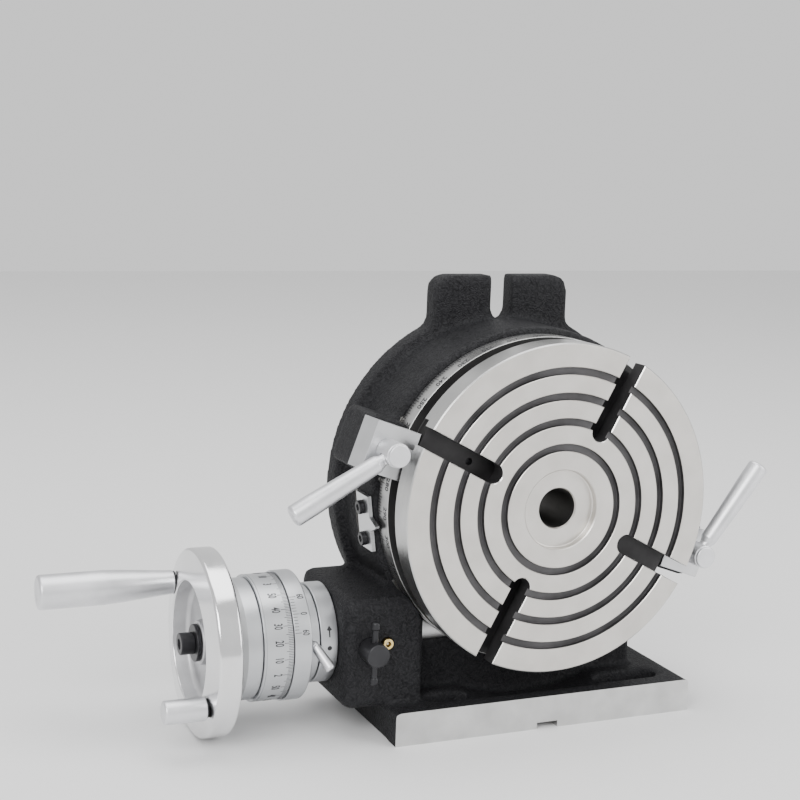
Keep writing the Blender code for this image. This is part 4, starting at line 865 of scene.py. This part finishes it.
def makeClamp(side, degrees, leverDegrees):
    c = clamp
    jaw = softCopy(f"{side}_clamp_jaw", 0.00045, "satin")
    addPiece(f"{side}ClampJaw", jaw, f"{side}_jaw", [f"{side}_clamp_jaw"], 50.0)
    hubBack = c["jawFront"] - 0.0003
    axis = radialFrame(degrees, c["radius"], 0) @ intoMachine
    front = hubBack - c["hubLength"]
    hub = lathe([(0, hubBack), (c["hub"], hubBack, 0.0005), (c["hub"], front + 0.0022, 0.0002),
                 (c["hub"] - 0.0005, front + 0.0020, 0.0001), (c["hub"] - 0.0005, front, 0.0008), (0, front)],
                axis, "handle", 96, 4)
    turn = math.radians(leverDegrees)
    reach = Vector((math.cos(turn), 0, math.sin(turn)))
    base = axis @ Vector((0, 0, hubBack - c["hubLength"] / 2))
    length = c["leverLength"]
    arm = lathe([(0, 0), (c["root"], 0), (c["root"], c["hub"] + 0.0012, 0.0004),
                 (c["neck"], c["hub"] + 0.0046, 0.0012), (c["end"], length * 0.82, 0.02),
                 (c["end"], length, 0.0022), (0, length)],
                axisFrame(base, reach), "handle", 80, 5)
    spot = lathe([(0, c["hub"] - 0.0010), (0.0042, c["hub"] - 0.0010), (0.0050, c["hub"] + 0.0004),
                  (0, c["hub"] + 0.0004)], axisFrame(base, reach), "black", 48)
    bore = rod(c["stud"] + 0.0003, hubBack + 0.01, 0.0042, axis, "steel", 48)
    lever = carve(carve(hub, [spot]), [arm], 'UNION')
    addPiece(f"{side}ClampLever", carve(lever, [bore]), f"{side}_lever", [f"{side}_clamp_lever"])


makeClamp("left", clamp["angle"], 209.0)
makeClamp("right", clamp["angle"] + 180, 53.0)
report("clamps")


def capScrew(radius, height, shank, length):
    # socket head screw with its seat on Z = 0 and its head along +Z
    profile = [(0, height), (radius, height, 0.0005), (radius, 0, 0.0002), (shank, 0), (shank, -length, 0.0003),
               (0, -length)]
    mesh = lathe(profile, None, "black", 48, 3)
    hexagon = [(radius * 0.56 * math.cos(math.radians(60 * k)), radius * 0.56 * math.sin(math.radians(60 * k)))
               for k in range(6)]
    return carve(mesh, [prism(hexagon, height * 0.45, height + 0.002, None, "ink")])


def screwTree():
    tree, sockets, given = newRing("screwRing", {
        "Object": ("Screw",), "Int": ("Count",), "Float": ("Radius", "First Angle", "Height"),
        "Material": ("Finish",)})
    screw = wire(tree, 'GeometryNodeObjectInfo', {"Object": given["Screw"]}).outputs["Geometry"]
    closeRing(tree, given, wire(tree, 'GeometryNodeInputIndex').outputs[0],
              maths(tree, 'DIVIDE', 2 * math.pi, given["Count"]), given["Height"], screw, (1, 1, 1))
    return tree, sockets


screwRing, screwSockets = screwTree()


def screwsRound(mesh, matrix, count, radius, firstDegrees, height):
    source = newObject("work", mesh)
    result = growRing(screwRing, screwSockets, {
        "Screw": source, "Count": count, "Radius": radius, "First Angle": math.radians(firstDegrees),
        "Height": height, "Finish": finish["black"]}, matrix)
    bpy.data.objects.remove(source)
    return result


pointer = {"angle": 187.0, "seat": 0.1022, "plate": 0.0025, "gap": 0.0006,
           "screw": (0.00425, 0.003, 0.0025, 0.0118)}
addPiece("indexPointer", softCopy("index_pointer", 0.00035, "satin"), "base", ["index_pointer"], 50.0)
pointerOut = radialFrame(pointer["angle"]).to_3x3() @ Vector((1, 0, 0))
for number in (1, 2):
    centre = middleOf(f"pointer_screw_{number}")
    outer = tableSpot + pointerOut * (pointer["seat"] + pointer["plate"] + pointer["gap"])
    centre += pointerOut * ((outer - centre).dot(pointerOut))
    screw = capScrew(*pointer["screw"])
    screw.transform(axisFrame(centre, pointerOut))
    addPiece(f"pointerScrew{number}", screw, "base", [f"pointer_screw_{number}"])

cover = {"bore": 0.015, "outer": 0.0477, "screwCircle": 0.0425, "headDepth": 0.0022, "screwEnd": 0.0890,
         "screw": (0.0037, 0.0021, 0.002), "counter": 0.0042, "through": 0.0023}


def makeCover():
    c = cover
    low, high = (corner.y - tableSpot.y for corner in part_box("rear_cover"))
    seat = high - c["headDepth"]
    screws = screwsRound(capScrew(*c["screw"], seat - c["screwEnd"]), tableFrame, 3, c["screwCircle"], -90.0, seat)
    addPiece("coverScrews", screws, "base", [f"cover_screw_{number}" for number in (1, 2, 3)])
    plate = lathe([(c["bore"], high, 0.0005), (c["bore"], low), (c["outer"], low), (c["outer"], high, 0.0006)],
                  tableFrame, "paint", 128)
    counterbores = [lathe([(0, high + 0.01), (c["counter"], high + 0.01), (c["counter"], seat - 0.0003),
                           (c["through"], seat - 0.0003), (c["through"], low - 0.01), (0, low - 0.01)],
                          Matrix.Translation(radialFrame(degrees, c["screwCircle"]).translation) @ intoMachine,
                          "steel", 40) for degrees in (90, 210, 330)]
    addPiece("rearCover", carve(plate, counterbores), "base", ["rear_cover"])


makeCover()

hub = {"bore": 0.0043, "outer": 0.011, "screw": (0.0065, 0.008, 0.004, 0.020), "gap": 0.0003}
washerStart, washerEnd = wormSpan("hub_washer")
addPiece("hubWasher", lathe([(hub["bore"], washerEnd, 0.0003), (hub["bore"], washerStart),
                             (hub["outer"], washerStart, 0.0003), (hub["outer"], washerEnd, 0.0005)],
                            wormFrame, "black", 96), "worm", ["hub_washer"])
hubScrew = capScrew(*hub["screw"])
hubScrew.transform(wormFrame @ Matrix.Translation((0, 0, washerEnd + hub["gap"])))
addPiece("hubScrew", hubScrew, "worm", ["hub_screw"])
report("screws")


lock = {"thread": 0.005, "head": 0.007, "hole": 0.0023, "bar": 0.002, "ball": 0.0027, "ballLength": 0.0042,
        "neckLength": 0.0048}


def makeLock():
    k = lock
    spot = jointSpot["lock_screw_turn"]
    low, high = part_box("lock_screw")
    front, tip = low.y - spot.y, high.y - spot.y
    seat = -0.0003
    spin = Matrix.Translation(spot) @ intoMachine
    screw = lathe([(0, tip), (k["thread"], tip, 0.0006), (k["thread"], seat), (k["head"], seat, 0.0005),
                   (k["head"], front, 0.0010), (0, front)], spin, "black", 80, 4)
    barLow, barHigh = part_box("lock_bar")
    middle = (barLow + barHigh) / 2
    half = (barHigh.z - barLow.z) / 2
    hole = rod(k["hole"], -half, half, Matrix.Translation(middle), "black", 48)
    addPiece("lockScrew", carve(screw, [hole]), "lock", ["lock_screw"])
    ball, neck = half - k["ballLength"], half - k["neckLength"]
    bar = lathe([(0, half), (k["ball"], half, 0.0014), (k["ball"], ball, 0.0012), (k["bar"], neck, 0.0006),
                 (k["bar"], -neck, 0.0006), (k["ball"], -ball, 0.0012), (k["ball"], -half, 0.0014), (0, -half)],
                Matrix.Translation(middle), "black", 48, 4)
    addPiece("lockBar", bar, "bar", ["lock_bar"])


makeLock()


oiler = {"outer": 0.0034, "lip": 0.0016, "cup": 0.0020, "depth": 0.007, "cupDepth": 0.005, "proud": 0.0014}


def makeOiler():
    o = oiler
    ballLow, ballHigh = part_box("oiler_ball")
    centre = (ballLow + ballHigh) / 2
    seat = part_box("oiler_body")[0].y + o["proud"]
    spin = Matrix.Translation((centre.x, seat, centre.z)) @ intoMachine
    body = lathe([(0, o["depth"]), (o["outer"], o["depth"]), (o["outer"], -o["proud"], 0.0006),
                  (o["lip"], -o["proud"], 0.0002), (o["lip"], 0.0002), (o["cup"], 0.0006),
                  (o["cup"], o["cupDepth"]), (0, o["cupDepth"])], spin, "brass", 80, 4)
    addPiece("oilerBody", body, "base", ["oiler_body"])
    radius = (ballHigh.z - ballLow.z) / 2
    arc = [(radius * math.sin(math.radians(10 * k)), radius * math.cos(math.radians(10 * k))) for k in range(19)]
    arc[0], arc[-1] = (0, radius), (0, -radius)
    addPiece("oilerBall", lathe(arc, Matrix.Translation(centre) @ intoMachine, "steel", 40), "oil_ball",
             ["oiler_ball"])


makeOiler()
report("small pieces")


casting = {"voxel": 0.0019, "smooth": 5, "spare": 0.006, "footFront": 0.004, "footHalf": 0.1003,
           "footHeight": 0.0203, "footSpan": 0.012, "clearance": 0.1014, "front": 0.0433, "cavity": 0.0720,
           "cavityEnd": 0.0770, "bearing": 0.0340, "recess": 0.0480, "recessFloor": 0.0945, "sleeveBore": 0.0208,
           "sleeveStart": 0.0370, "tunnel": 0.0177, "tunnelHalf": 0.0380, "keyHalf": 0.0070,
           "keyDepth": 0.0040, "seatHalf": 0.0200,
           "tunnelSpot": (0.062, -0.0827), "wide": 0.25}


def boreTool(spot, direction, radius, length):
    return rod(radius, 0, length, axisFrame(Vector(spot), Vector(direction)), "rawIron")


def fixingHoles():
    # piece, start behind the table's face, way, radius, length
    rows = [(f"{side}_clamp_stud", 0.0236, 1, 0.0043, 0.0303) for side in ("left", "right")]
    rows += [(f"cover_screw_{number}", 0.0865, 1, 0.0023, 0.0070) for number in (1, 2, 3)]
    rows += [("lock_screw", 0.010, 1, 0.0053, 0.050), ("oiler_body", 0.0273, -1, 0.0037, 0.020)]
    holes = []
    for node, start, way, radius, length in rows:
        middle = middleOf(node)
        holes.append(boreTool((middle.x, tableSpot.y + start, middle.z), (0, way, 0), radius, length))
    seat = radialFrame(pointer["angle"], pointer["seat"])
    outward = seat.to_3x3() @ Vector((1, 0, 0))
    for number in (1, 2):
        middle = middleOf(f"pointer_screw_{number}")
        onSeat = middle - outward * ((middle - seat.translation).dot(outward) + 0.0105)
        holes.append(boreTool(onSeat, outward, 0.0028, 0.015))
    return holes


def makeCasting():
    c = casting
    spare, wide = c["spare"], c["wide"]
    core = cadCopy("base_casting", "paint")
    # the foot is carried past its ground faces, rounded with the rest, then cut back sharp
    floorZ = -tableSpot.z
    atFoot = Matrix.Translation((tableSpot.x, tableSpot.y + c["footFront"], tableSpot.z))
    grown = block((-c["footHalf"], -spare, floorZ - spare),
                  (c["footHalf"], c["footSpan"], floorZ + c["footHeight"]), "paint", atFoot)
    core = carve(core, [grown], 'UNION')
    core = shape(core, [('REMESH', {"mode": 'VOXEL', "voxel_size": c["voxel"], "adaptivity": 0.0}),
                        ('SMOOTH', {"factor": 0.5, "iterations": c["smooth"]})])
    if not core.materials:
        core.materials.append(finish["paint"])
    atTable = Matrix.Translation(tableSpot)
    inside = [(0, -0.02), (c["clearance"], -0.02), (c["clearance"], c["front"]), (c["cavity"], c["front"]),
              (c["cavity"], c["cavityEnd"]), (c["bearing"], c["cavityEnd"]), (c["bearing"], c["recessFloor"]),
              (c["recess"], c["recessFloor"]), (c["recess"], 0.125), (0, 0.125)]
    tools = [block((-wide, -wide, -wide), (wide, c["footFront"], wide), "groundFoot", atTable),
             block((-wide, -wide, -wide), (wide, wide, floorZ), "groundFoot", atTable),
             lathe(inside, tableFrame, "rawIron", 160),
             boreTool(sleeveFrame @ Vector((0, 0, c["sleeveStart"])), (-1, 0, 0), c["sleeveBore"], 0.10),
             boreTool(tableSpot + Vector((c["tunnelHalf"], *c["tunnelSpot"])), (-1, 0, 0), c["tunnel"],
                      2 * c["tunnelHalf"]),
             block((-c["keyHalf"], -wide, -wide), (c["keyHalf"], wide, floorZ + c["keyDepth"]), "groundFoot", atTable),
             block((0, c["front"] - 0.002, -c["seatHalf"]), (0.02, c["front"] + 0.028, c["seatHalf"]),
                   "rawIron", radialFrame(pointer["angle"], pointer["seat"])),
             joined(fixingHoles())]
    return carve(core, tools)


addPiece("baseCasting", makeCasting(), "base", ["base_casting"])
report("casting")


carried = {"bronze": ("worm_wheel", "spindle_bush", "worm_bush_inner", "worm_bush_outer"),
           "steel": ("worm_shaft", "thrust_nut", "spindle_nut", "handwheel_key", "left_clamp_stud",
                     "right_clamp_stud"),
           "black": ("wheel_screw_1", "wheel_screw_2", "wheel_screw_3")}
for metal, nodes in carried.items():
    for node in nodes:
        slots = frame["nodes"][node].data.materials
        slots.clear()
        slots.append(finish[metal])

view = {"azimuth": -23.44, "elevation": 9.45, "roll": 2.01, "distance": 0.93766, "aside": -0.0958, "up": 0.0653,
        "lens": 71.2}
azimuth, elevation, roll = (math.radians(view[key]) for key in ("azimuth", "elevation", "roll"))
back = Vector((math.sin(azimuth) * math.cos(elevation), -math.cos(azimuth) * math.cos(elevation),
               math.sin(elevation)))
right = Vector((math.cos(azimuth), math.sin(azimuth), 0))
up = back.cross(right)
right, up = (math.cos(roll) * right + math.sin(roll) * up, -math.sin(roll) * right + math.cos(roll) * up)
camera = newObject("camera", bpy.data.cameras.new("camera"))
camera.data.lens = view["lens"]
camera.data.sensor_width = 36.0
camera.data.clip_start = 0.01
spot = tableSpot + back * view["distance"] + right * view["aside"] + up * view["up"]
camera.matrix_world = Matrix.Translation(spot) @ Matrix((right, up, back)).transposed().to_4x4()
scene.camera = camera


def softBox(name, location, target, size, power):
    lamp = bpy.data.lights.new(name, 'AREA')
    lamp.shape = 'RECTANGLE'
    lamp.size, lamp.size_y = size
    lamp.energy = power
    holder = newObject(name, lamp)
    aim = (Vector(location) - Vector(target)).to_track_quat('Z', 'Y')
    holder.matrix_world = Matrix.Translation(location) @ aim.to_matrix().to_4x4()


softBox("keyLight", (-1.3, -1.6, 1.5), (0, 0, 0.12), (1.4, 1.2), 42.0)
softBox("fillLight", (1.5, -1.3, 0.9), (0, 0, 0.12), (1.2, 1.4), 20.0)
softBox("topLight", (0.1, 0.1, 1.9), (0, 0, 0.1), (1.8, 1.4), 26.0)
world = bpy.data.worlds.new("studio")
world.use_nodes = True
feed(world.node_tree, world.node_tree.nodes["Background"], {"Color": (1.0, 1.0, 1.0, 1), "Strength": 0.95})
scene.world = world

finish["floor"] = newMaterial("paleFloor", {"Base Color": (0.80, 0.80, 0.80, 1), "Roughness": 0.6})[0]
floorBm = bmesh.new()
bmesh.ops.create_grid(floorBm, x_segments=1, y_segments=1, size=3.0)
floor = newObject("floor", meshFrom(floorBm, None, "floor"))
report("studio")
